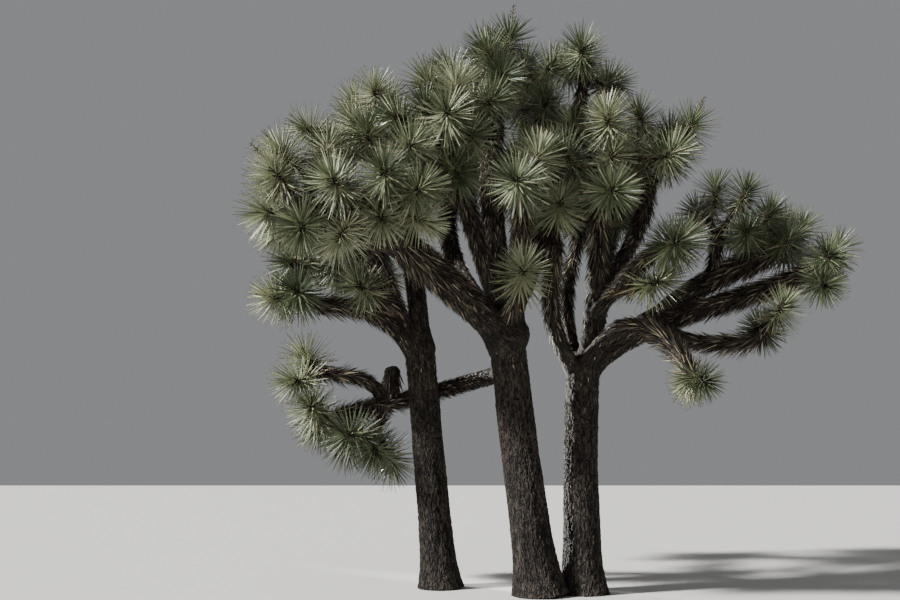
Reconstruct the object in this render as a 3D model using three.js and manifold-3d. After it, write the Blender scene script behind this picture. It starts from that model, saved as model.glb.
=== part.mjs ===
// A joshua tree that grows as a clump of three stems from one root.
// Millimetres, +Z up, +X to the viewer's right and +Y away from the viewer.
// The origin is the centre of the flat cut under the middle stem, at ground level.
// Stems fork into shaggy boughs, and each bough ends in a mass: thick twigs that fork
// by a seeded rule, with a round head of dagger leaves on the tip of each.

import * as THREE from "three";
import { mergeVertices } from "three/addons/utils/BufferGeometryUtils.js";
import Module from "manifold-3d";

const wasm = await Module();
wasm.setup();

// Driving dimensions
const GAP = 0.3; // clearance between neighbouring solids
const BURIED = 150; // how far a stem's stock runs below the ground before it is cut flat
const FLARE_HEIGHT = 260; // height over which the root flare dies away
const FLARE = 0.45; // how much wider than its stem the root flare is at the ground
const LUMPS = 0.06; // share by which the bark swells and shrinks
const STEM_SIDES = 8;
const BOUGH_SIDES = 6;
const TWIG_SIDES = 3;
const STEP_LENGTH = 560; // length of limb between two rings
const TWIG_GIRTH = 70; // radius of a twig that grows from the side of a limb
const TWIG_END_GIRTH = 27; // radius of a twig where it enters its head
const TWIG_START = 0.92; // share of its bough's radius with which a mass's first twig starts
const TWIG_TAPER = 0.85; // share of its girth that a twig still has where it forks
const CHILD_GIRTH = 0.5; // share of a twig's girth with which its forks start
const EARLY_FORK = 0.4; // where a twig to four heads or more forks, on its way to their middle
const LATE_FORK = 0.5; // where a twig to two or three heads forks
const FORK_BACK = 0.15; // how far back inside the twig its forks start, as a share of its length
const KNOT_TAIL = 72; // how far behind the middle of a head its twig ends
const TWIG_LIFT = 0.25; // how far heads turn up towards the light
const JITTER = 0.1; // share by which the twigs of a mass differ in length and slant
const CORE_RADIUS = 62; // the knot of leaf bases inside a head
const CORE_STRETCH = 1.45; // how much longer than wide that knot is
const LEAF = 335; // length of a leaf from the middle of its head
const LEAF_SPREAD = 0.18; // share by which leaf lengths differ
const LEAF_DROOP = 0.14; // how far the lower leaves hang
const SHORTEST_LEAF = 130; // a leaf with less room than this is left out
const BARE_BACK = -0.8; // no leaf grows this far back along the twig
const LEAF_CLEARANCE = 2; // room kept between the leaves of two heads
const HEAD_ROOM = 290; // a head that would stand nearer than this to another is left out
const LIMB_CLEARANCE = 12; // room kept between a leaf and a limb or a twig of another mass
const LIMB_SLEEVES = 16; // steps in which the leaves are tested against a limb
const TWIG_SLEEVES = 4; // steps in which they are tested against a twig
const GOLDEN_TURN = 137.5; // degrees from each head of a fan to the next
const MASS_BACK = 0.5; // how far inside its bough's tip a mass starts, as a share of that radius
const LEAF_TESTS = [0.4, 0.6, 0.8, 1]; // shares of a leaf's length where it is tested for touching
const MERGE = 1e-3; // points nearer than this become one

// Seeds, and the numbers by which each draw of a seeded row follows from the last
const DRAW_FACTOR = 16807;
const DRAW_MODULUS = 2147483647;
const SEED_STEP = 7919;
const SEED_START = 17;
const BOUGH_SEED = 20;
const TWIG_SEED = 50;
const HEAD_SEEDS = 1000;

const COLOURS = { bark: 0x5d5348, thatch: 0x6f6353, leaves: 0x5f6b4a };

// Each limb runs to a tip that lies [heading, reach, rise] from its start. Headings are in
// degrees, counter-clockwise from +X. It is bowed [up, sideways] out of its straight line,
// most of all halfway, or nearer its start where a third number says so. Its girth is its
// radius at the start and at the tip.
const STEMS = {
  stem_middle: { foot: [0, 0], to: [189, 330, 2870], bow: [-10, -30], girth: [205, 190] },
  stem_left: { foot: [-1020, 550], to: [208, 280, 2660], bow: [0, 0], girth: [175, 165] },
  stem_right: { foot: [470, 150], to: [319, 80, 2330], bow: [20, -20], girth: [185, 175] },
};

// Each bough starts on the middle line of another limb, at a share of its length.
const BOUGHS = {
  left_arch_bough: { on: ["stem_left", 0.87], to: [204, 1190, 690], bow: [270, 15], girth: [115, 85] },
  left_upright_bough: { on: ["stem_left", 0.97], to: [222, 620, 1060], bow: [-20, -60], girth: [105, 85] },
  left_leader: { on: ["stem_left", 0.98], to: [159, 440, 2140], bow: [90, -20], girth: [140, 90] },
  left_rear_bough: { on: ["stem_left", 0.96], to: [125, 1390, 1440], bow: [-80, -60], girth: [130, 90] },
  low_arm: { on: ["stem_middle", 0.8], to: [162, 1990, -430], bow: [70, -480], girth: [110, 80] },
  low_arm_loop: { on: ["low_arm", 0.78], to: [204, 620, 290], bow: [130, -20], girth: [85, 65] },
  low_arm_stub: { on: ["low_arm", 0.76], to: [300, 40, 350], bow: [0, 0], girth: [68, 112] },
  broad_left_bough: { on: ["stem_middle", 0.92], to: [208, 1310, 920], bow: [0, 50], girth: [200, 160] },
  near_left_bough: { on: ["broad_left_bough", 0.98], to: [226, 420, 420], bow: [-45, 50], girth: [125, 90] },
  far_left_bough: { on: ["broad_left_bough", 0.95], to: [192, 830, 300], bow: [-60, 0], girth: [120, 85] },
  centre_leader: { on: ["stem_middle", 0.99], to: [116, 220, 2420], bow: [-20, 60], girth: [165, 110] },
  centre_left_bough: { on: ["stem_middle", 0.97], to: [228, 830, 1780], bow: [-60, 0], girth: [120, 85] },
  centre_front_bough: { on: ["stem_middle", 0.99], to: [278, 900, 1030], bow: [40, 50], girth: [105, 75] },
  centre_right_bough: { on: ["stem_middle", 0.99], to: [26, 690, 1980], bow: [-110, -45], girth: [150, 100] },
  top_right_bough: {
    on: ["centre_right_bough", 0.74], to: [346, 400, 1190], bow: [-25, -40], girth: [95, 75],
  },
  centre_rear_bough: { on: ["stem_middle", 0.97], to: [107, 1780, 2370], bow: [-200, 280], girth: [130, 90] },
  rear_right_bough: { on: ["stem_middle", 0.97], to: [75, 1660, 2470], bow: [-200, 25], girth: [125, 85] },
  right_inner_bough: { on: ["stem_right", 0.94], to: [233, 500, 1350], bow: [-105, -140], girth: [105, 75] },
  right_thin_bough: { on: ["stem_right", 0.98], to: [85, 700, 1500], bow: [60, 125], girth: [72, 62] },
  right_leader: { on: ["stem_right", 0.97], to: [302, 350, 1800], bow: [35, 105], girth: [120, 90] },
  right_near_bough: { on: ["right_leader", 0.36], to: [308, 830, 530], bow: [30, 10], girth: [90, 70] },
  right_slanting_bough: {
    on: ["right_leader", 0.52], to: [23, 770, 1270], bow: [-110, -30], girth: [100, 75],
  },
  long_right_bough: { on: ["stem_right", 0.98], to: [354, 2430, 1050], bow: [130, 40, 1], girth: [140, 95] },
  long_right_fork: { on: ["long_right_bough", 0.33], to: [1, 1380, 820], bow: [110, 80], girth: [145, 120] },
  reaching_bough: { on: ["stem_right", 0.99], to: [310, 1300, -30], bow: [430, -10], girth: [95, 72] },
  hanging_right_bough: {
    on: ["long_right_bough", 0.36], to: [328, 1050, -230], bow: [-130, -100], girth: [95, 75],
  },
  right_rear_bough: { on: ["stem_right", 0.97], to: [66, 1700, 2300], bow: [-120, -10], girth: [135, 90] },
};

// Each mass leaves its limb the given way, a heading and an elevation in degrees. Its heads
// stand at the reach from there, in a fan about that way: [reach, half-angle, turn]. Where its
// heads are small, leaf is the share of the usual length that their leaves have.
const MASSES = {
  left_arch_rosettes: { on: ["left_arch_bough", 1], heads: 3, way: [205, 3], fan: [540, 52, 230] },
  left_front_rosette: { on: ["left_upright_bough", 0.45], heads: 1, way: [230, 15], fan: [620, 0, 0] },
  left_upright_rosettes: { on: ["left_upright_bough", 1], heads: 4, way: [162, 10], fan: [1000, 44, 280] },
  left_leader_rosettes: { on: ["left_leader", 1], heads: 6, way: [160, 66], fan: [1080, 44, 350] },
  left_rear_rosettes: { on: ["left_rear_bough", 1], heads: 7, way: [115, 40], fan: [840, 78, 30] },
  near_left_rosettes: { on: ["near_left_bough", 1], heads: 6, way: [285, 5], fan: [720, 74, 270] },
  far_left_rosettes: { on: ["far_left_bough", 1], heads: 7, way: [232, 22], fan: [720, 58, 330] },
  centre_top_rosettes: { on: ["centre_leader", 1], heads: 8, way: [250, 72], fan: [900, 70, 190] },
  centre_left_rosettes: { on: ["centre_left_bough", 1], heads: 7, way: [240, 25], fan: [720, 70, 190] },
  centre_front_rosettes: { on: ["centre_front_bough", 1], heads: 2, way: [290, 45], fan: [560, 48, 90] },
  centre_right_rosettes: { on: ["centre_right_bough", 1], heads: 3, way: [255, 45], fan: [780, 56, 0] },
  top_right_rosettes: { on: ["top_right_bough", 1], heads: 4, way: [325, 85], fan: [600, 50, 290] },
  centre_rear_rosettes: { on: ["centre_rear_bough", 1], heads: 7, way: [105, 48], fan: [860, 76, 20] },
  rear_right_rosettes: { on: ["rear_right_bough", 1], heads: 7, way: [58, 50], fan: [880, 76, 200] },
  low_front_rosettes: { on: ["stem_middle", 0.97], heads: 1, way: [277, 22], fan: [960, 30, 10] },
  right_inner_rosettes: { on: ["right_inner_bough", 1], heads: 3, way: [60, 76], fan: [620, 50, 200] },
  right_thin_rosettes: { on: ["right_thin_bough", 1], heads: 3, way: [20, 80], fan: [860, 44, 340] },
  right_leader_rosettes: { on: ["right_leader", 1], heads: 6, way: [270, 53], fan: [1000, 58, 300] },
  right_near_rosettes: { on: ["right_near_bough", 1], heads: 2, way: [295, 5], fan: [410, 60, 250] },
  right_slanting_rosettes: { on: ["right_slanting_bough", 1], heads: 4, way: [10, 66], fan: [880, 36, 60] },
  right_lower_rosette: { on: ["right_near_bough", 0.35], heads: 1, way: [315, 5], fan: [560, 0, 0] },
  long_right_rosettes: {
    on: ["long_right_bough", 1], heads: 3, way: [285, 15], fan: [440, 58, 120], leaf: 0.8,
  },
  right_fork_rosettes: {
    on: ["long_right_fork", 1], heads: 5, way: [25, 70], fan: [500, 72, 220], leaf: 0.85,
  },
  right_fork_upright: {
    on: ["long_right_fork", 0.6], heads: 3, way: [330, 85], fan: [1000, 30, 120], leaf: 0.85,
  },
  reaching_rosettes: {
    on: ["reaching_bough", 1], heads: 2, way: [305, -45], fan: [340, 76, 170], leaf: 0.65,
  },
  hanging_right_rosettes: {
    on: ["hanging_right_bough", 1], heads: 2, way: [325, 45], fan: [500, 82, 240], leaf: 0.8,
  },
  right_rear_rosettes: { on: ["right_rear_bough", 1], heads: 7, way: [80, 60], fan: [800, 60, 180] },
  low_arm_rosettes: { on: ["low_arm", 1], heads: 3, way: [145, -20], fan: [440, 82, 100] },
  low_loop_rosettes: { on: ["low_arm_loop", 1], heads: 2, way: [170, 30], fan: [520, 54, 180] },
  low_hanging_rosettes: { on: ["low_arm", 0.8], heads: 3, way: [265, -50], fan: [700, 42, 10] },
};

const UP = new THREE.Vector3(0, 0, 1);

// Numbers from 0 to 1 that follow from a seed.
function seeded(seed) {
  let state = seed * SEED_STEP + SEED_START;
  return () => {
    state = (state * DRAW_FACTOR) % DRAW_MODULUS;
    return state / DRAW_MODULUS;
  };
}

// A unit vector from a heading and an elevation in degrees.
function bearing(heading, elevation) {
  const h = THREE.MathUtils.degToRad(heading);
  const e = THREE.MathUtils.degToRad(elevation);
  return new THREE.Vector3(Math.cos(h) * Math.cos(e), Math.sin(h) * Math.cos(e), Math.sin(e));
}

// The line down the middle of a limb, bowed out of its straight chord.
class LimbLine extends THREE.Curve {
  constructor(start, [heading, reach, rise], [up, side, early = 0]) {
    super();
    this.start = start;
    this.early = early;
    this.chord = bearing(heading, 0).multiplyScalar(reach).setZ(rise);
    const along = this.chord.clone().normalize();
    this.sideways = bearing(heading + 90, 0).multiplyScalar(side);
    this.lifted = UP.clone().addScaledVector(along, -along.z).normalize().multiplyScalar(up);
  }

  getPoint(t) {
    const bow = 4 * t * (1 - t) * (1 + this.early * (1 - 2 * t));
    return this.start.clone().addScaledVector(this.chord, t)
      .addScaledVector(this.sideways, bow).addScaledVector(this.lifted, bow);
  }
}

// A closed solid from a three.js geometry.
function solidOf(geometry) {
  const bare = geometry.index ? geometry.toNonIndexed() : geometry;
  for (const name of Object.keys(bare.attributes)) {
    if (name !== "position") bare.deleteAttribute(name);
  }
  const merged = mergeVertices(bare, MERGE);
  return new wasm.Manifold(new wasm.Mesh({
    numProp: 3,
    vertProperties: merged.attributes.position.array,
    triVerts: new Uint32Array(merged.index.array),
  }));
}

// A cylinder bent along a line, with a radius that changes along it, grown by a clearance.
function bentCylinder(line, radiusAt, sides, steps, grow = 0, lumpSeed = 0) {
  const random = seeded(lumpSeed);
  const lumps = Array.from({ length: (steps + 1) * sides }, () => 1 + LUMPS * (2 * random() - 1));
  const rings = [];
  let normal = null;
  for (let i = 0; i <= steps; i += 1) {
    const t = i / steps;
    const along = line.getTangent(t).normalize();
    if (!normal) {
      normal = Math.abs(along.x) < 0.9 ? new THREE.Vector3(1, 0, 0) : new THREE.Vector3(0, 1, 0);
    }
    normal = normal.clone().addScaledVector(along, -normal.dot(along)).normalize();
    const centre = line.getPoint(t);
    if (i === 0) centre.addScaledVector(along, -grow);
    if (i === steps) centre.addScaledVector(along, grow);
    rings.push({ centre, normal, across: normal.clone().cross(along), radius: radiusAt(t) });
  }
  const geometry = new THREE.CylinderGeometry(1, 1, 1, sides, steps);
  const position = geometry.attributes.position;
  for (let v = 0; v < position.count; v += 1) {
    const x = position.getX(v);
    const z = position.getZ(v);
    const step = Math.round((position.getY(v) + 0.5) * steps);
    const ring = rings[step];
    const point = ring.centre.clone();
    if (Math.hypot(x, z) > 0.5) {
      const side = (Math.round((Math.atan2(z, x) / (2 * Math.PI)) * sides) + sides) % sides;
      const angle = (side / sides) * 2 * Math.PI;
      const radius = ring.radius * lumps[step * sides + side] + grow;
      point.addScaledVector(ring.normal, radius * Math.cos(angle))
        .addScaledVector(ring.across, radius * Math.sin(angle));
    }
    position.setXYZ(v, point.x, point.y, point.z);
  }
  return solidOf(geometry);
}

// The largest body of a solid, without the scraps that a cut leaves loose.
function largest(solid) {
  return solid.decompose().sort((a, b) => b.volume() - a.volume())[0];
}

function boxesMeet(a, b) {
  const p = a.boundingBox();
  const q = b.boundingBox();
  return [0, 1, 2].every((k) => p.min[k] < q.max[k] && q.min[k] < p.max[k]);
}

// A solid cut clear of each of the others that its box meets.
function cutClear(solid, others) {
  const near = others.filter((other) => boxesMeet(solid, other));
  return near.reduce((left, other) => left.subtract(other), solid);
}

// Stems and boughs by name: each has its middle line, its radius along that line, its solid,
// and the solid grown by the clearance, which is cut from what meets it
const limbs = {};

function addLimb(name, line, radiusAt, sides, lumpSeed) {
  const steps = Math.max(2, Math.round(line.getLength() / STEP_LENGTH));
  const grown = bentCylinder(line, radiusAt, sides, steps, GAP, lumpSeed);
  const whole = bentCylinder(line, radiusAt, sides, steps, 0, lumpSeed);
  const solid = largest(cutClear(whole, Object.values(limbs).map((limb) => limb.grown)));
  limbs[name] = { line, radiusAt, solid, grown };
}

Object.entries(STEMS).forEach(([name, { foot, to, bow, girth: [base, tip] }], i) => {
  const line = new LimbLine(new THREE.Vector3(...foot, 0), to, bow);
  const height = to[2];
  const radiusAt = (t) => THREE.MathUtils.lerp(base, tip, t)
    + base * FLARE * Math.exp((-Math.max(0, t) * height) / FLARE_HEIGHT);
  // The stock starts below the ground, so that the cut at ground level is flat and level.
  const stock = new THREE.Curve();
  const shareAt = (t) => t - (1 - t) * (BURIED / height);
  stock.getPoint = (t) => {
    const share = shareAt(t);
    return share < 0 ? line.getPoint(0).setZ(share * height) : line.getPoint(share);
  };
  addLimb(name, stock, (t) => radiusAt(shareAt(t)), STEM_SIDES, i + 1);
  const limb = limbs[name];
  Object.assign(limb, { line, radiusAt, solid: limb.solid.trimByPlane([0, 0, 1], 0) });
});

Object.entries(BOUGHS).forEach(([name, { on: [limb, at], to, bow, girth }], i) => {
  const line = new LimbLine(limbs[limb].line.getPoint(at), to, bow);
  addLimb(name, line, (t) => THREE.MathUtils.lerp(...girth, t), BOUGH_SIDES, BOUGH_SEED + i);
});

// The places of a mass's heads: the first right on its way, and the others in a fan about
// that, turned by the golden angle from each to the next, so that they stand evenly apart.
function fanOfHeads(from, way, { heads, fan: [reach, halfAngle, turn], leaf = 1 }, random) {
  const side = new THREE.Vector3(-way.y, way.x, 0).normalize();
  const front = way.clone().cross(side);
  return Array.from({ length: heads }, (_, k) => {
    const slant = halfAngle * Math.sqrt(k / Math.max(1, heads - 1));
    const tilt = THREE.MathUtils.degToRad(slant * (1 + JITTER * (random() - 0.5)));
    const around = THREE.MathUtils.degToRad(turn + k * GOLDEN_TURN);
    const out = side.clone().multiplyScalar(Math.cos(around))
      .addScaledVector(front, Math.sin(around));
    const distance = reach * (1 + JITTER * (2 * random() - 1));
    const direction = way.clone().multiplyScalar(Math.cos(tilt))
      .addScaledVector(out, Math.sin(tilt));
    const centre = from.clone().addScaledVector(direction, distance);
    const seed = Math.floor(random() * HEAD_SEEDS);
    return { centre, around: (around / (2 * Math.PI)) % 1, seed, leaf };
  });
}

// Twigs that fork towards the middle of the heads still to be reached, in two or three,
// until each carries one head.
function forkTwigs(from, girth, heads, twigs) {
  if (heads.length === 1) {
    const [head] = heads;
    head.direction = head.centre.clone().sub(from).normalize()
      .addScaledVector(UP, TWIG_LIFT).normalize();
    const to = head.centre.clone().addScaledVector(head.direction, -KNOT_TAIL);
    twigs.push({ from, to, girth: [girth, TWIG_END_GIRTH] });
    return;
  }
  const middle = heads.reduce((sum, head) => sum.add(head.centre), new THREE.Vector3())
    .divideScalar(heads.length);
  const fork = from.clone().lerp(middle, heads.length > 3 ? EARLY_FORK : LATE_FORK);
  const end = girth * TWIG_TAPER;
  twigs.push({ from, to: fork, girth: [girth, end] });
  const parts = heads.length > 4 ? 3 : 2;
  const size = Math.ceil(heads.length / parts);
  for (let i = 0; i < heads.length; i += size) {
    const start = fork.clone().lerp(from, FORK_BACK);
    forkTwigs(start, end * CHILD_GIRTH, heads.slice(i, i + size), twigs);
  }
}

// Masses: each has its heads and the twigs that carry them. A head that would crowd one that
// is already placed is left out.
const placed = [];

const masses = Object.entries(MASSES).map(([name, mass], i) => {
  const [limbName, at] = mass.on;
  const limb = limbs[limbName];
  const radius = limb.radiusAt(at);
  const girth = at === 1 ? radius * TWIG_START : TWIG_GIRTH;
  const along = limb.line.getTangent(at).normalize();
  const back = at === 1 ? radius * MASS_BACK : 0;
  const from = limb.line.getPoint(at).addScaledVector(along, -back);
  const way = bearing(...mass.way);
  const heads = fanOfHeads(from, way, mass, seeded(i + 1)).filter(({ centre }) => {
    const free = placed.every((other) => other.distanceTo(centre) > HEAD_ROOM);
    if (free) placed.push(centre);
    return free;
  });
  const twigs = [];
  forkTwigs(from, girth, [...heads].sort((a, b) => a.around - b.around), twigs);
  return { name, heads, twigs };
});

// Points with a radius that stand for a limb, or for a twig of a mass, along its length.
function sleevesOf(steps, pointAt, radiusAt, mass) {
  return Array.from({ length: steps + 1 }, (_, k) => {
    const t = k / steps;
    return { mass, point: pointAt(t), radius: radiusAt(t) };
  });
}

const sleeves = Object.values(limbs).flatMap(({ line, radiusAt }) =>
  sleevesOf(LIMB_SLEEVES, (t) => line.getPoint(t), radiusAt, null));
for (const mass of masses) {
  for (const { from, to, girth } of mass.twigs) {
    const pointAt = (t) => from.clone().lerp(to, t);
    const radiusAt = (t) => THREE.MathUtils.lerp(...girth, t);
    sleeves.push(...sleevesOf(TWIG_SLEEVES, pointAt, radiusAt, mass));
  }
}
const allHeads = masses.flatMap((mass) => mass.heads.map((head) => ({ mass, ...head })));

// The length that a leaf can have before it would enter the room of another head.
function roomFor(head, way, wanted) {
  let length = wanted;
  for (const other of allHeads) {
    const apart = other.centre.clone().sub(head.centre);
    const distance = apart.length();
    const towards = way.dot(apart);
    if (towards > 0) {
      length = Math.min(length, ((distance / 2 - LEAF_CLEARANCE) * distance) / towards);
    }
  }
  return length;
}

// Whether a leaf would touch a limb or a twig of another mass.
function leafTouches(head, tip) {
  return LEAF_TESTS.some((share) => {
    const point = head.centre.clone().addScaledVector(tip, share);
    return sleeves.some((sleeve) => sleeve.mass !== head.mass
      && point.distanceTo(sleeve.point) < sleeve.radius + LIMB_CLEARANCE);
  });
}

// A head: a knot of leaf bases, each face of which is drawn out to the tip of a dagger leaf.
function headSolid(head) {
  const random = seeded(head.seed + 1);
  const turned = new THREE.Quaternion().setFromUnitVectors(new THREE.Vector3(0, 1, 0), head.direction);
  const knot = new THREE.IcosahedronGeometry(CORE_RADIUS, 0);
  knot.rotateY(random() * Math.PI);
  knot.scale(1, CORE_STRETCH, 1);
  knot.applyQuaternion(turned);
  const corners = knot.attributes.position;
  const faces = [];
  for (let f = 0; f < corners.count; f += 3) {
    const knotFace = [0, 1, 2].map((k) =>
      new THREE.Vector3().fromBufferAttribute(corners, f + k));
    const way = knotFace.reduce((sum, corner) => sum.add(corner), new THREE.Vector3()).normalize();
    const forward = way.dot(head.direction);
    const wanted = LEAF * head.leaf * (1 - LEAF_SPREAD * random());
    way.addScaledVector(UP, -LEAF_DROOP * (1 - forward)).normalize();
    const length = roomFor(head, way, wanted);
    const tip = way.multiplyScalar(length);
    if (forward < BARE_BACK || length < SHORTEST_LEAF || leafTouches(head, tip)) {
      faces.push(...knotFace);
    } else {
      knotFace.forEach((corner, k) => faces.push(corner, knotFace[(k + 1) % 3], tip));
    }
  }
  const points = faces.map((point) => point.clone().add(head.centre));
  return solidOf(new THREE.BufferGeometry().setFromPoints(points));
}

// The twigs of a mass as one solid, grown by a clearance.
function twigsOf(mass, grow) {
  return wasm.Manifold.union(mass.twigs.map(({ from, to, girth }, i) => {
    const radiusAt = (t) => THREE.MathUtils.lerp(...girth, t);
    const line = new THREE.LineCurve3(from, to);
    return bentCylinder(line, radiusAt, TWIG_SIDES, 1, grow, TWIG_SEED + i);
  }));
}

const limbsGrown = Object.values(limbs).map((limb) => limb.grown);
for (const mass of masses) {
  mass.whole = twigsOf(mass, 0);
  mass.grown = twigsOf(mass, GAP);
}

masses.forEach((mass, i) => {
  const others = masses.filter((other) => other !== mass).map((other) => other.grown);
  const twigs = cutClear(mass.whole, [...limbsGrown, ...others.slice(0, i)]);
  const heads = allHeads.filter((head) => head.mass === mass)
    .map((head) => cutClear(headSolid(head), [...limbsGrown, ...others]));
  mass.solid = largest(wasm.Manifold.union([twigs, ...heads]));
});

// The scene: one named mesh for each stem, bough and mass
function meshOf(name, solid, material) {
  const { numProp, numVert, vertProperties, triVerts } = solid.getMesh();
  const points = new Float32Array(numVert * 3);
  for (let v = 0; v < numVert; v += 1) {
    points.set(vertProperties.subarray(v * numProp, v * numProp + 3), v * 3);
  }
  const geometry = new THREE.BufferGeometry();
  geometry.setAttribute("position", new THREE.BufferAttribute(points, 3));
  geometry.setIndex(new THREE.BufferAttribute(triVerts, 1));
  geometry.computeVertexNormals();
  const mesh = new THREE.Mesh(geometry, material);
  mesh.name = name;
  return mesh;
}

const finish = (color) => new THREE.MeshStandardMaterial({ color, roughness: 0.9, metalness: 0 });
const bark = finish(COLOURS.bark);
const thatch = finish(COLOURS.thatch);
const leaves = finish(COLOURS.leaves);

const tree = new THREE.Group();
Object.keys(STEMS).forEach((name) => tree.add(meshOf(name, limbs[name].solid, bark)));
Object.keys(BOUGHS).forEach((name) => tree.add(meshOf(name, limbs[name].solid, thatch)));
masses.forEach((mass) => tree.add(meshOf(mass.name, mass.solid, leaves)));

export default tree;
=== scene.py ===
"""A joshua tree: a clump of three stems, shaggy boughs and round heads of dagger leaves.

Metres, +Z up, +X to the viewer's right and +Y away from the viewer, with the origin at the
middle of the flat cut under the middle stem. The middle lines of the limbs and the places
of the heads follow the same plans and the same seeded rule as the solids. On them grow the
furrowed bark, the curved twigs, the thatch of dead leaves that points back down the wood,
the live leaves of every head, more heads on side shoots, and a few dry flower stalks.
"""

import logging
import math
from collections.abc import Callable, Iterator
from dataclasses import dataclass, field, fields
from enum import Enum

import bmesh
import bpy
import numpy as np
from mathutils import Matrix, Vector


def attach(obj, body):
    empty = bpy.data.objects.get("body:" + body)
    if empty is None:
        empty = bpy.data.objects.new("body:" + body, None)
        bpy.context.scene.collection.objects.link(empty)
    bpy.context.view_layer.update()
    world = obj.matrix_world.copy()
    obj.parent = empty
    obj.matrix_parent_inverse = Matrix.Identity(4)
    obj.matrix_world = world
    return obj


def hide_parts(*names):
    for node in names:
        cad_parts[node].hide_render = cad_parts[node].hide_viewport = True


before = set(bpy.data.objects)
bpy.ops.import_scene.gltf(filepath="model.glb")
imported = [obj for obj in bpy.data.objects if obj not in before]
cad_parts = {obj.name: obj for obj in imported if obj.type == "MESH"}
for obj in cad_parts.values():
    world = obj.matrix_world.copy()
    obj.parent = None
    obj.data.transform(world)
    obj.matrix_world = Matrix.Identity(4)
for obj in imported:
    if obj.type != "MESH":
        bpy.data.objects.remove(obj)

LOG = logging.getLogger("joshua_tree")
BODY = "root"
UP = np.array([0.0, 0.0, 1.0])
GOLDEN_TURN = 137.5
HEAD_SEEDS = 1000
PIECE_LIMIT = 190_000
TINY = 1e-12

Row = tuple[float, ...]


# Plans of the growth, in metres and degrees

@dataclass(frozen=True)
class StemPlan:
    """A stem: its foot, the [heading, reach, rise] of its tip, its bow and its girth."""

    foot: Row
    to: Row
    bow: Row
    girth: Row


@dataclass(frozen=True)
class BoughPlan:
    """A bough: the limb it grows on, at a share of that limb's length, and its own run.

    Its bow may have a third number, which moves the most of it nearer the start.
    """

    on: str
    at: float
    to: Row
    bow: Row
    girth: Row


@dataclass(frozen=True)
class MassPlan:
    """A mass: its limb, its number of heads, its way and its fan [reach, half-angle, turn].

    Where its heads are small, leaf is the share of the usual length that their leaves have.
    Shade is painted light and shade: it moves their tints up the palette where they stand in the light, and
    down it where they stand in shade.
    """

    on: str
    at: float
    heads: int
    way: Row
    fan: Row
    leaf: float = 1.0
    shade: int = 0


STEMS = {
    "stem_middle": StemPlan((0, 0), (189, 0.33, 2.87), (-0.01, -0.03), (0.205, 0.19)),
    "stem_left": StemPlan((-1.02, 0.55), (208, 0.28, 2.66), (0, 0), (0.175, 0.165)),
    "stem_right": StemPlan((0.47, 0.15), (319, 0.08, 2.33), (0.02, -0.02), (0.185, 0.175)),
}

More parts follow.
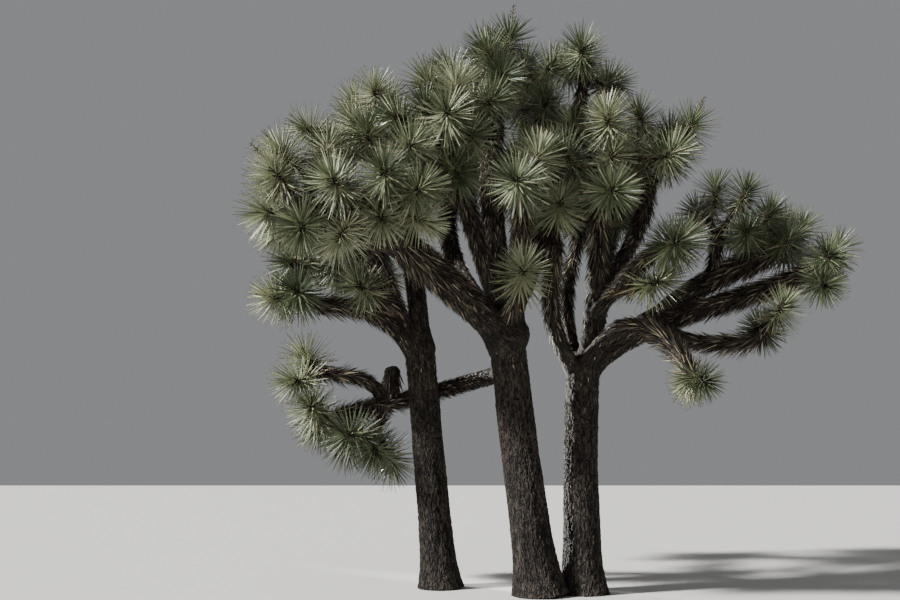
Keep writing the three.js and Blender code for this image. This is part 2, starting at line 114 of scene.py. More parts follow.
BOUGHS = {
    "left_arch_bough": BoughPlan("stem_left", 0.87, (204, 1.19, 0.69), (0.27, 0.015), (0.115, 0.085)),
    "left_upright_bough": BoughPlan("stem_left", 0.97, (222, 0.62, 1.06), (-0.02, -0.06), (0.105, 0.085)),
    "left_leader": BoughPlan("stem_left", 0.98, (159, 0.44, 2.14), (0.09, -0.02), (0.14, 0.09)),
    "left_rear_bough": BoughPlan("stem_left", 0.96, (125, 1.39, 1.44), (-0.08, -0.06), (0.13, 0.09)),
    "low_arm": BoughPlan("stem_middle", 0.8, (162, 1.99, -0.43), (0.07, -0.48), (0.11, 0.08)),
    "low_arm_loop": BoughPlan("low_arm", 0.78, (204, 0.62, 0.29), (0.13, -0.02), (0.085, 0.065)),
    "low_arm_stub": BoughPlan("low_arm", 0.76, (300, 0.04, 0.35), (0, 0), (0.068, 0.112)),
    "broad_left_bough": BoughPlan("stem_middle", 0.92, (208, 1.31, 0.92), (0, 0.05), (0.2, 0.16)),
    "near_left_bough": BoughPlan("broad_left_bough", 0.98, (226, 0.42, 0.42), (-0.045, 0.05), (0.125, 0.09)),
    "far_left_bough": BoughPlan("broad_left_bough", 0.95, (192, 0.83, 0.3), (-0.06, 0), (0.12, 0.085)),
    "centre_leader": BoughPlan("stem_middle", 0.99, (116, 0.22, 2.42), (-0.02, 0.06), (0.165, 0.11)),
    "centre_left_bough": BoughPlan("stem_middle", 0.97, (228, 0.83, 1.78), (-0.06, 0), (0.12, 0.085)),
    "centre_front_bough": BoughPlan("stem_middle", 0.99, (278, 0.9, 1.03), (0.04, 0.05), (0.105, 0.075)),
    "centre_right_bough": BoughPlan("stem_middle", 0.99, (26, 0.69, 1.98), (-0.11, -0.045), (0.15, 0.1)),
    "top_right_bough": BoughPlan(
        "centre_right_bough", 0.74, (346, 0.4, 1.19), (-0.025, -0.04), (0.095, 0.075)),
    "centre_rear_bough": BoughPlan("stem_middle", 0.97, (107, 1.78, 2.37), (-0.2, 0.28), (0.13, 0.09)),
    "rear_right_bough": BoughPlan("stem_middle", 0.97, (75, 1.66, 2.47), (-0.2, 0.025), (0.125, 0.085)),
    "right_inner_bough": BoughPlan("stem_right", 0.94, (233, 0.5, 1.35), (-0.105, -0.14), (0.105, 0.075)),
    "right_thin_bough": BoughPlan("stem_right", 0.98, (85, 0.7, 1.5), (0.06, 0.125), (0.072, 0.062)),
    "right_leader": BoughPlan("stem_right", 0.97, (302, 0.35, 1.8), (0.035, 0.105), (0.12, 0.09)),
    "right_near_bough": BoughPlan("right_leader", 0.36, (308, 0.83, 0.53), (0.03, 0.01), (0.09, 0.07)),
    "right_slanting_bough": BoughPlan("right_leader", 0.52, (23, 0.77, 1.27), (-0.11, -0.03), (0.1, 0.075)),
    "long_right_bough": BoughPlan("stem_right", 0.98, (354, 2.43, 1.05), (0.13, 0.04, 1), (0.14, 0.095)),
    "long_right_fork": BoughPlan("long_right_bough", 0.33, (1, 1.38, 0.82), (0.11, 0.08), (0.145, 0.12)),
    "reaching_bough": BoughPlan("stem_right", 0.99, (310, 1.3, -0.03), (0.43, -0.01), (0.095, 0.072)),
    "hanging_right_bough": BoughPlan(
        "long_right_bough", 0.36, (328, 1.05, -0.23), (-0.13, -0.1), (0.095, 0.075)),
    "right_rear_bough": BoughPlan("stem_right", 0.97, (66, 1.7, 2.3), (-0.12, -0.01), (0.135, 0.09)),
}

# shade=1 paints light on the lit masses on the left and in front; shade=-1 paints shade on the masses at the
# top, at the back and on the right.
MASSES = {
    "left_arch_rosettes": MassPlan("left_arch_bough", 1, 3, (205, 3), (0.54, 52, 230)),
    "left_front_rosette": MassPlan("left_upright_bough", 0.45, 1, (230, 15), (0.62, 0, 0)),
    "left_upright_rosettes": MassPlan("left_upright_bough", 1, 4, (162, 10), (1.0, 44, 280)),
    "left_leader_rosettes": MassPlan("left_leader", 1, 6, (160, 66), (1.08, 44, 350)),
    "left_rear_rosettes": MassPlan("left_rear_bough", 1, 7, (115, 40), (0.84, 78, 30)),
    "near_left_rosettes": MassPlan("near_left_bough", 1, 6, (285, 5), (0.72, 74, 270), shade=1),
    "far_left_rosettes": MassPlan("far_left_bough", 1, 7, (232, 22), (0.72, 58, 330), shade=1),
    "centre_top_rosettes": MassPlan("centre_leader", 1, 8, (250, 72), (0.9, 70, 190), shade=-1),
    "centre_left_rosettes": MassPlan("centre_left_bough", 1, 7, (240, 25), (0.72, 70, 190)),
    "centre_front_rosettes": MassPlan("centre_front_bough", 1, 2, (290, 45), (0.56, 48, 90), shade=1),
    "centre_right_rosettes": MassPlan("centre_right_bough", 1, 3, (255, 45), (0.78, 56, 0)),
    "top_right_rosettes": MassPlan("top_right_bough", 1, 4, (325, 85), (0.6, 50, 290), shade=-1),
    "centre_rear_rosettes": MassPlan("centre_rear_bough", 1, 7, (105, 48), (0.86, 76, 20), shade=-1),
    "rear_right_rosettes": MassPlan("rear_right_bough", 1, 7, (58, 50), (0.88, 76, 200), shade=-1),
    "low_front_rosettes": MassPlan("stem_middle", 0.97, 1, (277, 22), (0.96, 30, 10)),
    "right_inner_rosettes": MassPlan("right_inner_bough", 1, 3, (60, 76), (0.62, 50, 200)),
    "right_thin_rosettes": MassPlan("right_thin_bough", 1, 3, (20, 80), (0.86, 44, 340)),
    "right_leader_rosettes": MassPlan("right_leader", 1, 6, (270, 53), (1.0, 58, 300)),
    "right_near_rosettes": MassPlan("right_near_bough", 1, 2, (295, 5), (0.41, 60, 250)),
    "right_slanting_rosettes": MassPlan("right_slanting_bough", 1, 4, (10, 66), (0.88, 36, 60), shade=-1),
    "right_lower_rosette": MassPlan("right_near_bough", 0.35, 1, (315, 5), (0.56, 0, 0)),
    "long_right_rosettes": MassPlan("long_right_bough", 1, 3, (285, 15), (0.44, 58, 120), 0.8, shade=-1),
    "right_fork_rosettes": MassPlan("long_right_fork", 1, 5, (25, 70), (0.5, 72, 220), 0.85, shade=-1),
    "right_fork_upright": MassPlan("long_right_fork", 0.6, 3, (330, 85), (1.0, 30, 120), 0.85, shade=-1),
    "reaching_rosettes": MassPlan("reaching_bough", 1, 2, (305, -45), (0.34, 76, 170), 0.65),
    "hanging_right_rosettes": MassPlan("hanging_right_bough", 1, 2, (325, 45), (0.5, 82, 240), 0.8, shade=-1),
    "right_rear_rosettes": MassPlan("right_rear_bough", 1, 7, (80, 60), (0.8, 60, 180), shade=-1),
    "low_arm_rosettes": MassPlan("low_arm", 1, 3, (145, -20), (0.44, 82, 100)),
    "low_loop_rosettes": MassPlan("low_arm_loop", 1, 2, (170, 30), (0.52, 54, 180)),
    "low_hanging_rosettes": MassPlan("low_arm", 0.8, 3, (265, -50), (0.7, 42, 10), shade=-1),
}


@dataclass(frozen=True)
class Habit:
    """How the plant grows everywhere: the driving sizes that the solids have too.

    A twig to late_heads or fewer forks late, and one to pair_heads or fewer forks in two.
    """

    flare: float = 0.45
    flare_height: float = 0.26
    twig_girth: float = 0.07
    twig_end_girth: float = 0.027
    twig_start: float = 0.92
    twig_sink: float = 0.5
    twig_taper: float = 0.85
    child_girth: float = 0.5
    early_fork: float = 0.4
    late_fork: float = 0.5
    late_heads: int = 3
    pair_heads: int = 4
    fork_back: float = 0.15
    knot_tail: float = 0.072
    twig_lift: float = 0.25
    jitter: float = 0.1
    head_room: float = 0.29
    leaf_reach: float = 0.335
    leaf_spread: float = 0.18
    leaf_droop: float = 0.14


@dataclass(frozen=True)
class ShootHabit:
    """How side shoots with heads of their own fill the room between the first heads.

    Each opening is a round lane between two points, with its radius, that no shoot closes.
    The stagger and the stretch give the least of a share, and what chance adds to it.
    """

    seed: int = 700
    tries_per_metre: float = 14.0
    stagger: Row = (0.2, 0.6)
    on_bough: float = 0.72
    length: float = 0.36
    stretch: Row = (0.85, 0.3)
    forward: float = 0.55
    upward: float = 0.35
    girth: float = 0.042
    girth_share: float = 0.8
    head_room: float = 0.37
    twig_room: float = 0.2
    wood_room: float = 0.19
    spill: float = 0.12
    openings: tuple[tuple[Row, Row, float], ...] = (
        ((1.08, -1.6, 3.72), (2.25, 2.6, 5.16), 0.42),
        ((0.71, -1.6, 3.38), (1.65, 2.6, 4.62), 0.36),
        ((-1.15, -1.6, 3.32), (-1.28, 2.6, 4.53), 0.33),
        ((-1.44, -1.6, 2.97), (-1.75, 2.6, 3.98), 0.3),
        ((2.82, -1.6, 2.85), (5.0, 2.6, 3.79), 0.3),
    )


HABIT = Habit()
SHOOTS = ShootHabit()


class Dice:
    """Numbers from 0 to 1 that follow from a seed, as in the solids."""

    FACTOR = 16807
    MODULUS = 2147483647
    SEED_STEP = 7919
    FIRST = 17

    def __init__(self, seed: int) -> None:
        """Starts the row of numbers that belongs to the seed."""
        self.state = seed * self.SEED_STEP + self.FIRST

    def __call__(self) -> float:
        """Returns the next number."""
        self.state = self.state * self.FACTOR % self.MODULUS
        return self.state / self.MODULUS


def unit(vectors: np.ndarray) -> np.ndarray:
    """Returns the vectors at a length of one."""
    return vectors / np.maximum(np.linalg.norm(vectors, axis=-1, keepdims=True), TINY)


def bearing(heading: float, elevation: float) -> np.ndarray:
    """Returns the unit vector of a heading and an elevation in degrees."""
    h, e = math.radians(heading), math.radians(elevation)
    return np.array([math.cos(h) * math.cos(e), math.sin(h) * math.cos(e), math.sin(e)])


def smoothstep(values: np.ndarray, low: float, high: float) -> np.ndarray:
    """Returns 0 below low, 1 above high and a smooth rise between them."""
    t = np.clip((values - low) / (high - low), 0, 1)
    return t * t * (3 - 2 * t)


class LimbLine:
    """The middle line of a limb, bowed out of its straight chord."""

    def __init__(self, start: np.ndarray, to: Row, bow: Row) -> None:
        """Lays the line.

        Args:
            start: Where the limb starts.
            to: Heading in degrees, reach and rise from the start to the tip.
            bow: How far it is bowed up and sideways, and how early, from 0 for halfway.
        """
        heading, reach, rise = to
        up, side, self.early = (*bow, 0.0)[:3]
        self.start = start
        self.chord = bearing(heading, 0) * reach + UP * rise
        along = unit(self.chord)
        self.bow = bearing(heading + 90, 0) * side + unit(UP - along * along[2]) * up

    def point(self, t: np.ndarray | float) -> np.ndarray:
        """Works out where the line runs.

        Args:
            t: Shares of its length.

        Returns:
            The points there.
        """
        t = np.asarray(t, float)[..., None]
        rise = 4 * t * (1 - t) * (1 + self.early * (1 - 2 * t))
        return self.start + self.chord * t + self.bow * rise

    def tangent(self, t: np.ndarray | float) -> np.ndarray:
        """Works out which way the line runs.

        Args:
            t: Shares of its length.

        Returns:
            The unit directions there.
        """
        t = np.asarray(t, float)[..., None]
        slope = (4 - 8 * t) * (1 + self.early * (1 - 2 * t)) - 8 * t * (1 - t) * self.early
        return unit(self.chord + self.bow * slope)


class Run:
    """A stretch of wood: stations on its middle line, with radii and frames that don't twist."""

    STEEP = 0.9

    def __init__(self, points: np.ndarray, radii: np.ndarray) -> None:
        """Works out the directions, frames and reaches of the stations.

        Args:
            points: The stations on the middle line.
            radii: The radius of the wood at each of them.
        """
        self.points = points
        self.radii = radii
        self.along = unit(np.gradient(points, axis=0))
        steps = np.linalg.norm(np.diff(points, axis=0), axis=1)
        self.reach = np.concatenate([[0], np.cumsum(steps)])
        side = np.array([1.0, 0, 0]) if abs(self.along[0][0]) < self.STEEP else np.array([0, 1.0, 0])
        across = []
        for direction in self.along:
            side = unit(side - direction * (side @ direction))
            across.append(side)
        self.across = np.array(across)
        self.over = np.cross(self.along, self.across)

    @property
    def length(self) -> float:
        """Returns the length of the run."""
        return float(self.reach[-1])

    def at(self, reach: np.ndarray, values: np.ndarray) -> np.ndarray:
        """Returns station values, numbers or vectors, read off at distances along the run."""
        columns = [np.interp(reach, self.reach, column) for column in np.atleast_2d(values.T)]
        return np.stack(columns, axis=-1) if values.ndim > 1 else columns[0]

    def around(self, reach: np.ndarray, angle: np.ndarray) -> tuple[np.ndarray, np.ndarray]:
        """Finds places on the surface of the wood.

        Args:
            reach: Distances along the run.
            angle: Angles about the middle line, in radians.

        Returns:
            The points on the surface, and the directions straight out of it.
        """
        out = self.at(reach, self.across) * np.cos(angle)[:, None]
        out = unit(out + self.at(reach, self.over) * np.sin(angle)[:, None])
        return self.at(reach, self.points) + out * self.at(reach, self.radii)[:, None], out


@dataclass
class Limb:
    """A stem or bough with its line, its radius along it and the stem that it belongs to."""

    name: str
    stem: str
    line: LimbLine
    radius_at: Callable[[np.ndarray | float], np.ndarray | float]

    LEAST_STATIONS = 6

    def run(self, step: float, start: float = 0.0, end: float = 1.0) -> Run:
        """Lays stations along the limb.

        Args:
            step: About how far apart they are.
            start: The share of the limb's length at the first of them.
            end: The share at the last.

        Returns:
            The run.
        """
        length = float(np.linalg.norm(self.line.chord)) * (end - start)
        t = np.linspace(start, end, max(self.LEAST_STATIONS, round(length / step) + 1))
        return Run(self.line.point(t), np.asarray(self.radius_at(t)) * np.ones_like(t))


@dataclass
class Head:
    """A head: its middle, its place in the fan, its seed, the way it faces and its leaves' share."""

    centre: np.ndarray
    around: float
    seed: int
    direction: np.ndarray = field(default_factory=lambda: UP)
    leaf: float = 1.0


@dataclass
class Twig:
    """A twig of a mass between two points, leaving along lead and arriving along aim."""

    start: np.ndarray
    end: np.ndarray
    girth: Row
    lead: np.ndarray
    aim: np.ndarray
    head: Head | None = None

    STEP = 0.045
    LEAST_STATIONS = 4
    SWING = 0.75

    def run(self) -> Run:
        """Bends the twig from the way it leaves to the way it arrives.

        Returns:
            The twig as a curved run.
        """
        length = float(np.linalg.norm(self.end - self.start))
        t = np.linspace(0, 1, max(self.LEAST_STATIONS, round(length / self.STEP) + 1))[:, None]
        leave, arrive = self.lead * length * self.SWING, self.aim * length * self.SWING
        points = (2 * t**3 - 3 * t**2 + 1) * self.start + (t**3 - 2 * t**2 + t) * leave
        points = points + (3 * t**2 - 2 * t**3) * self.end + (t**3 - t**2) * arrive
        return Run(points, np.interp(t[:, 0], (0, 1), self.girth))


@dataclass
class Mass:
    """A mass of foliage: the heads that it carries and the twigs that carry them."""

    name: str
    heads: list[Head]
    twigs: list[Twig]


class Growth:
    """The whole plant as lines: its limbs, and its masses with their twigs and heads."""

    STEP = 0.09

    def __init__(self) -> None:
        """Grows the stems, then the boughs, the masses and the side shoots."""
        self.limbs: dict[str, Limb] = {}
        for name, plan in STEMS.items():
            self.grow_stem(name, plan)
        for name, plan in BOUGHS.items():
            self.grow_bough(name, plan)
        self.wood = [limb.run(self.STEP) for limb in self.limbs.values()]
        self.placed: list[np.ndarray] = []
        self.masses = [self.grow_mass(k, name, plan) for k, (name, plan) in enumerate(MASSES.items())]
        for row, mass in enumerate(self.masses):
            self.grow_shoots(row, mass)

    def grow_stem(self, name: str, plan: StemPlan) -> None:
        """Adds a stem, with a root flare that dies away upwards.

        Args:
            name: Its name.
            plan: Its plan.
        """
        base, tip = plan.girth
        height = plan.to[2]

        def radius_at(t: np.ndarray | float) -> np.ndarray | float:
            """Returns the radius of the stem at shares t."""
            flare = base * HABIT.flare * np.exp(-np.maximum(0, t) * height / HABIT.flare_height)
            return base + (tip - base) * np.asarray(t) + flare

        line = LimbLine(np.array([*plan.foot, 0.0]), plan.to, plan.bow)
        self.limbs[name] = Limb(name, name, line, radius_at)

    def grow_bough(self, name: str, plan: BoughPlan) -> None:
        """Adds a bough that starts on the middle line of another limb.

        Args:
            name: Its name.
            plan: Its plan.
        """
        base, tip = plan.girth
        parent = self.limbs[plan.on]
        line = LimbLine(parent.line.point(plan.at), plan.to, plan.bow)
        self.limbs[name] = Limb(name, parent.stem, line, lambda t: base + (tip - base) * np.asarray(t))

    def grow_mass(self, row: int, name: str, plan: MassPlan) -> Mass:
        """Places the heads of a mass and forks its twigs towards them.

        Args:
            row: The place of the mass in the plans, from which its seed follows.
            name: The name of the mass.
            plan: Its plan.

        Returns:
            The mass.
        """
        limb = self.limbs[plan.on]
        radius = float(limb.radius_at(plan.at))
        along = limb.line.tangent(plan.at)
        start = limb.line.point(plan.at)
        way = bearing(*plan.way)
        girth, lead = HABIT.twig_girth, way
        if plan.at == 1:
            girth, lead = radius * HABIT.twig_start, along
            start = start - along * radius * HABIT.twig_sink
        heads = [head for head in fan_of_heads(start, way, plan, Dice(row + 1)) if self.is_free(head)]
        twigs: list[Twig] = []
        fork_twigs(start, girth, lead, sorted(heads, key=lambda head: head.around), twigs)
        return Mass(name, heads, twigs)

    def grow_shoots(self, row: int, mass: Mass) -> None:
        """Lets side shoots with heads of their own fill the room that a mass has left.

        Args:
            row: The place of the mass in the plans, from which the seed follows.
            mass: The mass.
        """
        dice = Dice(SHOOTS.seed + row)
        plan = MASSES[mass.name]
        runs = [twig.run() for twig in mass.twigs]
        if plan.at == 1:
            runs.append(self.limbs[plan.on].run(self.STEP, SHOOTS.on_bough, 1.0))
        centres = np.array([head.centre for head in mass.heads])
        low, high = centres.min(axis=0) - SHOOTS.spill, centres.max(axis=0) + SHOOTS.spill
        for run in runs:
            tries = max(1, round(run.length * SHOOTS.tries_per_metre))
            for k in range(tries):
                place = k + SHOOTS.stagger[0] + SHOOTS.stagger[1] * dice()
                reach = np.array([run.length * place / tries])
                twig = self.shoot(run, reach, plan.leaf, (low, high), dice)
                if twig:
                    self.placed.append(twig.head.centre)
                    mass.heads.append(twig.head)
                    mass.twigs.append(twig)

    def shoot(self, run: Run, reach: np.ndarray, leaf: float, box: tuple[np.ndarray, np.ndarray],
              dice: Dice) -> Twig | None:
        """Draws a side shoot, and drops it where it has no room.

        Args:
            run: The wood that it starts on.
            reach: How far along the wood.
            leaf: The share of the usual length that its leaves have.
            box: The lowest and highest corners that its head stays between.
            dice: The row of random numbers.

        Returns:
            The shoot with its head, if it has room.
        """
        foot, out = run.around(reach, np.radians(np.array([dice() * 360])))
        along = run.at(reach, run.along)[0]
        way = unit(out[0] + along * SHOOTS.forward + UP * SHOOTS.upward)
        size = SHOOTS.length * (SHOOTS.stretch[0] + SHOOTS.stretch[1] * dice())
        centre = foot[0] + way * size
        head = Head(centre, dice(), math.floor(dice() * HEAD_SEEDS), unit(way + UP * HABIT.twig_lift), leaf)
        if np.any(centre < box[0]) or np.any(centre > box[1]) or not self.has_room(head, foot[0]):
            return None
        end = centre - head.direction * HABIT.knot_tail
        girth = min(SHOOTS.girth, float(run.at(reach, run.radii)[0]) * SHOOTS.girth_share)
        start = foot[0] - out[0] * girth
        return Twig(start, end, (girth, HABIT.twig_end_girth), way, head.direction, head)

    def has_room(self, head: Head, foot: np.ndarray) -> bool:
        """Looks whether a shoot keeps off the other heads, the openings and the wood.

        Args:
            head: The head of the shoot.
            foot: Where the shoot starts.

        Returns:
            Whether it has room.
        """
        placed = np.array(self.placed)
        halfway = (head.centre + foot) / 2
        if np.linalg.norm(placed - head.centre, axis=1).min() < SHOOTS.head_room * head.leaf:
            return False
        if np.linalg.norm(placed - halfway, axis=1).min() < SHOOTS.twig_room:
            return False
        for front, back, room in SHOOTS.openings:
            way = np.array(back) - np.array(front)
            share = min(1.0, max(0.0, float((head.centre - front) @ way / (way @ way))))
            if np.linalg.norm(head.centre - front - way * share) < room:
                return False
        return all(
            (np.linalg.norm(run.points - head.centre, axis=1) - run.radii).min() > SHOOTS.wood_room
            for run in self.wood
        )

    def is_free(self, head: Head) -> bool:
        """Places a head, unless it crowds one that is placed.

        Args:
            head: The head.

        Returns:
            Whether it is placed.
        """
        free = all(np.linalg.norm(other - head.centre) > HABIT.head_room for other in self.placed)
        if free:
            self.placed.append(head.centre)
        return free

    def sleeves(self, apart_from: Mass) -> tuple[np.ndarray, np.ndarray]:
        """Gathers round sleeves that stand for the limbs, and for the twigs of other masses.

        Args:
            apart_from: The mass whose own twigs are left out.

        Returns:
            The middles of the sleeves, and their radii.
        """
        others = [mass for mass in self.masses if mass is not apart_from]
        runs = self.wood + [twig.run() for mass in others for twig in mass.twigs]
        return np.concatenate([run.points for run in runs]), np.concatenate([run.radii for run in runs])


def fan_of_heads(start: np.ndarray, way: np.ndarray, plan: MassPlan, dice: Dice) -> Iterator[Head]:
    """Places the heads of a mass: the first right on its way, the others evenly about that.

    Args:
        start: Where the mass leaves its limb.
        way: The unit vector of its way.
        plan: The plan of the mass.
        dice: Its row of random numbers.

    Yields:
        The heads.
    """
    reach, half_angle, turn = plan.fan
    side = unit(np.array([-way[1], way[0], 0.0]))
    front = np.cross(way, side)
    for k in range(plan.heads):
        slant = half_angle * math.sqrt(k / max(1, plan.heads - 1))
        tilt = math.radians(slant * (1 + HABIT.jitter * (dice() - 0.5)))
        around = math.radians(turn + k * GOLDEN_TURN)
        out = side * math.cos(around) + front * math.sin(around)
        distance = reach * (1 + HABIT.jitter * (2 * dice() - 1))
        centre = start + (way * math.cos(tilt) + out * math.sin(tilt)) * distance
        yield Head(centre, around / (2 * math.pi) % 1, math.floor(dice() * HEAD_SEEDS), leaf=plan.leaf)


def fork_twigs(start: np.ndarray, girth: float, lead: np.ndarray, heads: list[Head],
               twigs: list[Twig]) -> None:
    """Forks towards the middle of the heads still to be reached, until a twig carries one.

    Args:
        start: Where the next twig starts.
        girth: Its radius there.
        lead: The way in which the wood before it runs.
        heads: The heads to be reached.
        twigs: The list that the twigs are added to.
    """
    if len(heads) == 1:
        head = heads[0]
        head.direction = unit(unit(head.centre - start) + UP * HABIT.twig_lift)
        end = head.centre - head.direction * HABIT.knot_tail
        twigs.append(Twig(start, end, (girth, HABIT.twig_end_girth), lead, head.direction, head))
        return
    middle = sum(head.centre for head in heads) / len(heads)
    share = HABIT.late_fork if len(heads) <= HABIT.late_heads else HABIT.early_fork
    fork = start + (middle - start) * share
    end_girth = girth * HABIT.twig_taper
    aim = unit(fork - start)
    twigs.append(Twig(start, fork, (girth, end_girth), lead, aim))
    parts = 2 if len(heads) <= HABIT.pair_heads else 3
    size = math.ceil(len(heads) / parts)
    child_start = fork + (start - fork) * HABIT.fork_back
    for i in range(0, len(heads), size):
        fork_twigs(child_start, end_girth * HABIT.child_girth, aim, heads[i:i + size], twigs)


# Help with meshes and node trees

Faces = list[tuple[int, ...]]
Part = tuple[np.ndarray, Faces]
Socket = bpy.types.NodeSocket
Inputs = dict[int | str, object]

DOME = np.radians([70, 40, 15])
DOME_HEIGHT = 0.8
POINT_FACTS = ("direction", "face", "size", "tint")


def new_object(name: str, mesh: bpy.types.Mesh) -> bpy.types.Object:
    """Puts a new object in the scene.

    Args:
        name: Its name.
        mesh: The mesh that it shows.

    Returns:
        The object.
    """
    made = bpy.data.objects.new(name, mesh)
    bpy.context.scene.collection.objects.link(made)
    return made


def mesh_of(name: str, points: np.ndarray, faces: Faces) -> bpy.types.Mesh:
    """Makes a mesh.

    Args:
        name: Its name.
        points: Its points.
        faces: Its faces, each as the places of its corners among the points.

    Returns:
        The mesh.
    """
    mesh = bpy.data.meshes.new(name)
    mesh.from_pydata(points.tolist(), [], faces)
    mesh.update()
    return mesh


def set_attribute(mesh: bpy.types.Mesh, name: str, values: np.ndarray, domain: str = "POINT") -> None:
    """Stores values on a mesh.

    Args:
        mesh: The mesh.
        name: The attribute's name.
        values: One whole number or one vector for each point or face.
        domain: POINT or FACE.
    """
    kind, key = ("INT", "value") if values.ndim == 1 else ("FLOAT_VECTOR", "vector")
    mesh.attributes.new(name, kind, domain).data.foreach_set(key, np.ravel(values))


def tube(run: Run, sides: int, rounded: bool = True) -> Part:
    """Makes a closed tube along a run.

    Args:
        run: The run.
        sides: The number of sides.
        rounded: Whether its ends are domed, or cut flat.

    Returns:
        The points and the faces, which point outwards.
    """
    points, radii, across, over = run.points, run.radii, run.across, run.over
    if rounded:
        rings = len(DOME)
        head = [points[-1] + run.along[-1] * radii[-1] * math.sin(a) * DOME_HEIGHT for a in DOME[::-1]]
        tail = [points[0] - run.along[0] * radii[0] * math.sin(a) * DOME_HEIGHT for a in DOME]
        points = np.concatenate([tail, points, head])
        radii = np.concatenate([radii[0] * np.cos(DOME), radii, radii[-1] * np.cos(DOME[::-1])])
        across = np.concatenate([[across[0]] * rings, across, [across[-1]] * rings])
        over = np.concatenate([[over[0]] * rings, over, [over[-1]] * rings])
    angle = np.arange(sides) / sides * 2 * math.pi
    ring = across[:, None] * np.cos(angle)[None, :, None] + over[:, None] * np.sin(angle)[None, :, None]
    grid = points[:, None] + ring * radii[:, None, None]
    last = (len(points) - 1) * sides
    faces: Faces = []
    for start in range(0, last, sides):
        for j in range(sides):
            k = (j + 1) % sides
            faces.append((start + j, start + k, start + sides + k, start + sides + j))
    low, high = last + sides, last + sides + 1
    for j in range(sides):
        k = (j + 1) % sides
        faces.append((low, k, j))
        faces.append((high, last + j, last + k))
    return np.concatenate([grid.reshape(-1, 3), points[:1], points[-1:]]), faces


def joined(parts: list[Part]) -> Part:
    """Puts several parts in one.

    Args:
        parts: The points and faces of each.

    Returns:
        The points and faces of all.
    """
    faces: Faces = []
    start = 0
    for points, some_faces in parts:
        faces += [tuple(v + start for v in face) for face in some_faces]
        start += len(points)
    return np.concatenate([points for points, _ in parts]), faces


def applied(source: bpy.types.Object) -> bpy.types.Object:
    """Puts what the modifiers make of an object in place of its mesh, and removes them.

    Args:
        source: The object.

    Returns:
        The same object.
    """
    depsgraph = bpy.context.evaluated_depsgraph_get()
    mesh = bpy.data.meshes.new_from_object(source.evaluated_get(depsgraph), depsgraph=depsgraph)
    source.modifiers.clear()
    old, source.data = source.data, mesh
    bpy.data.meshes.remove(old)
    return source


@dataclass(frozen=True)
class Cloud:
    """A cloudy pattern: its scale, or a scale for each axis, its detail and its distortion."""

    scale: float | Row
    detail: float
    distortion: float = 0.0


class Nodes:
    """Adds nodes to a tree, each input being a value or the output that feeds it."""

    def __init__(self, tree: bpy.types.NodeTree) -> None:
        """Keeps the tree and clears it."""
        self.tree = tree
        tree.nodes.clear()

    def add(self, kind: str, inputs: Inputs | None = None, **settings: object) -> bpy.types.Node:
        """Adds a node.

        Args:
            kind: The node's type.
            inputs: A value or a feeding output for some of its inputs, by name or place.
            settings: The node's own settings.

        Returns:
            The node.
        """
        node = self.tree.nodes.new(kind)
        for key, value in settings.items():
            setattr(node, key, value)
        for key, value in (inputs or {}).items():
            if isinstance(value, Socket):
                self.tree.links.new(value, node.inputs[key])
            else:
                node.inputs[key].default_value = value
        return node

    def out(self, kind: str, inputs: Inputs | None = None, **settings: object) -> Socket:
        """Adds a node and returns its first output in use."""
        return next(socket for socket in self.add(kind, inputs, **settings).outputs if socket.enabled)

    def math(self, operation: str, *values: object) -> Socket:
        """Adds a sum on numbers and returns its result."""
        return self.out("ShaderNodeMath", dict(enumerate(values)), operation=operation)

    def vector(self, operation: str, *values: object) -> Socket:
        """Adds a sum on vectors and returns its result."""
        return self.out("ShaderNodeVectorMath", dict(enumerate(values)), operation=operation)

    def cloud(self, place: Socket, cloud: Cloud) -> Socket:
        """Adds a cloudy pattern.

        Args:
            place: The output that says where it is read.
            cloud: Its settings.

        Returns:
            Its height, from 0 to 1.
        """
        scale = cloud.scale
        if isinstance(scale, tuple):
            place, scale = self.vector("MULTIPLY", place, scale), 1.0
        return self.out("ShaderNodeTexNoise", {
            "Vector": place, "Scale": scale, "Detail": cloud.detail, "Distortion": cloud.distortion,
        })

    def ramp(self, value: object, span: Row, to: Row = (0, 1)) -> Socket:
        """Adds a smooth rise between the two values of a span and returns its result."""
        return self.out("ShaderNodeMapRange", dict(enumerate((value, *span, *to))),
                        interpolation_type="SMOOTHSTEP")

    def mix(self, share: Socket, first: object, second: object) -> Socket:
        """Adds a mix of two colours and returns its result."""
        return self.add("ShaderNodeMix", {0: share, 6: first, 7: second}, data_type="RGBA").outputs[2]

    def bump(self, height: Socket, strength: float, distance: float) -> Socket:
        """Adds a bump and returns its normal."""
        return self.out("ShaderNodeBump", {"Height": height, "Strength": strength, "Distance": distance})

    def surface(self, inputs: Inputs) -> None:
        """Adds the shader of a surface, with its inputs, and sends it to the material's output."""
        shader = self.out("ShaderNodeBsdfPrincipled", inputs)
        self.add("ShaderNodeOutputMaterial", {"Surface": shader})


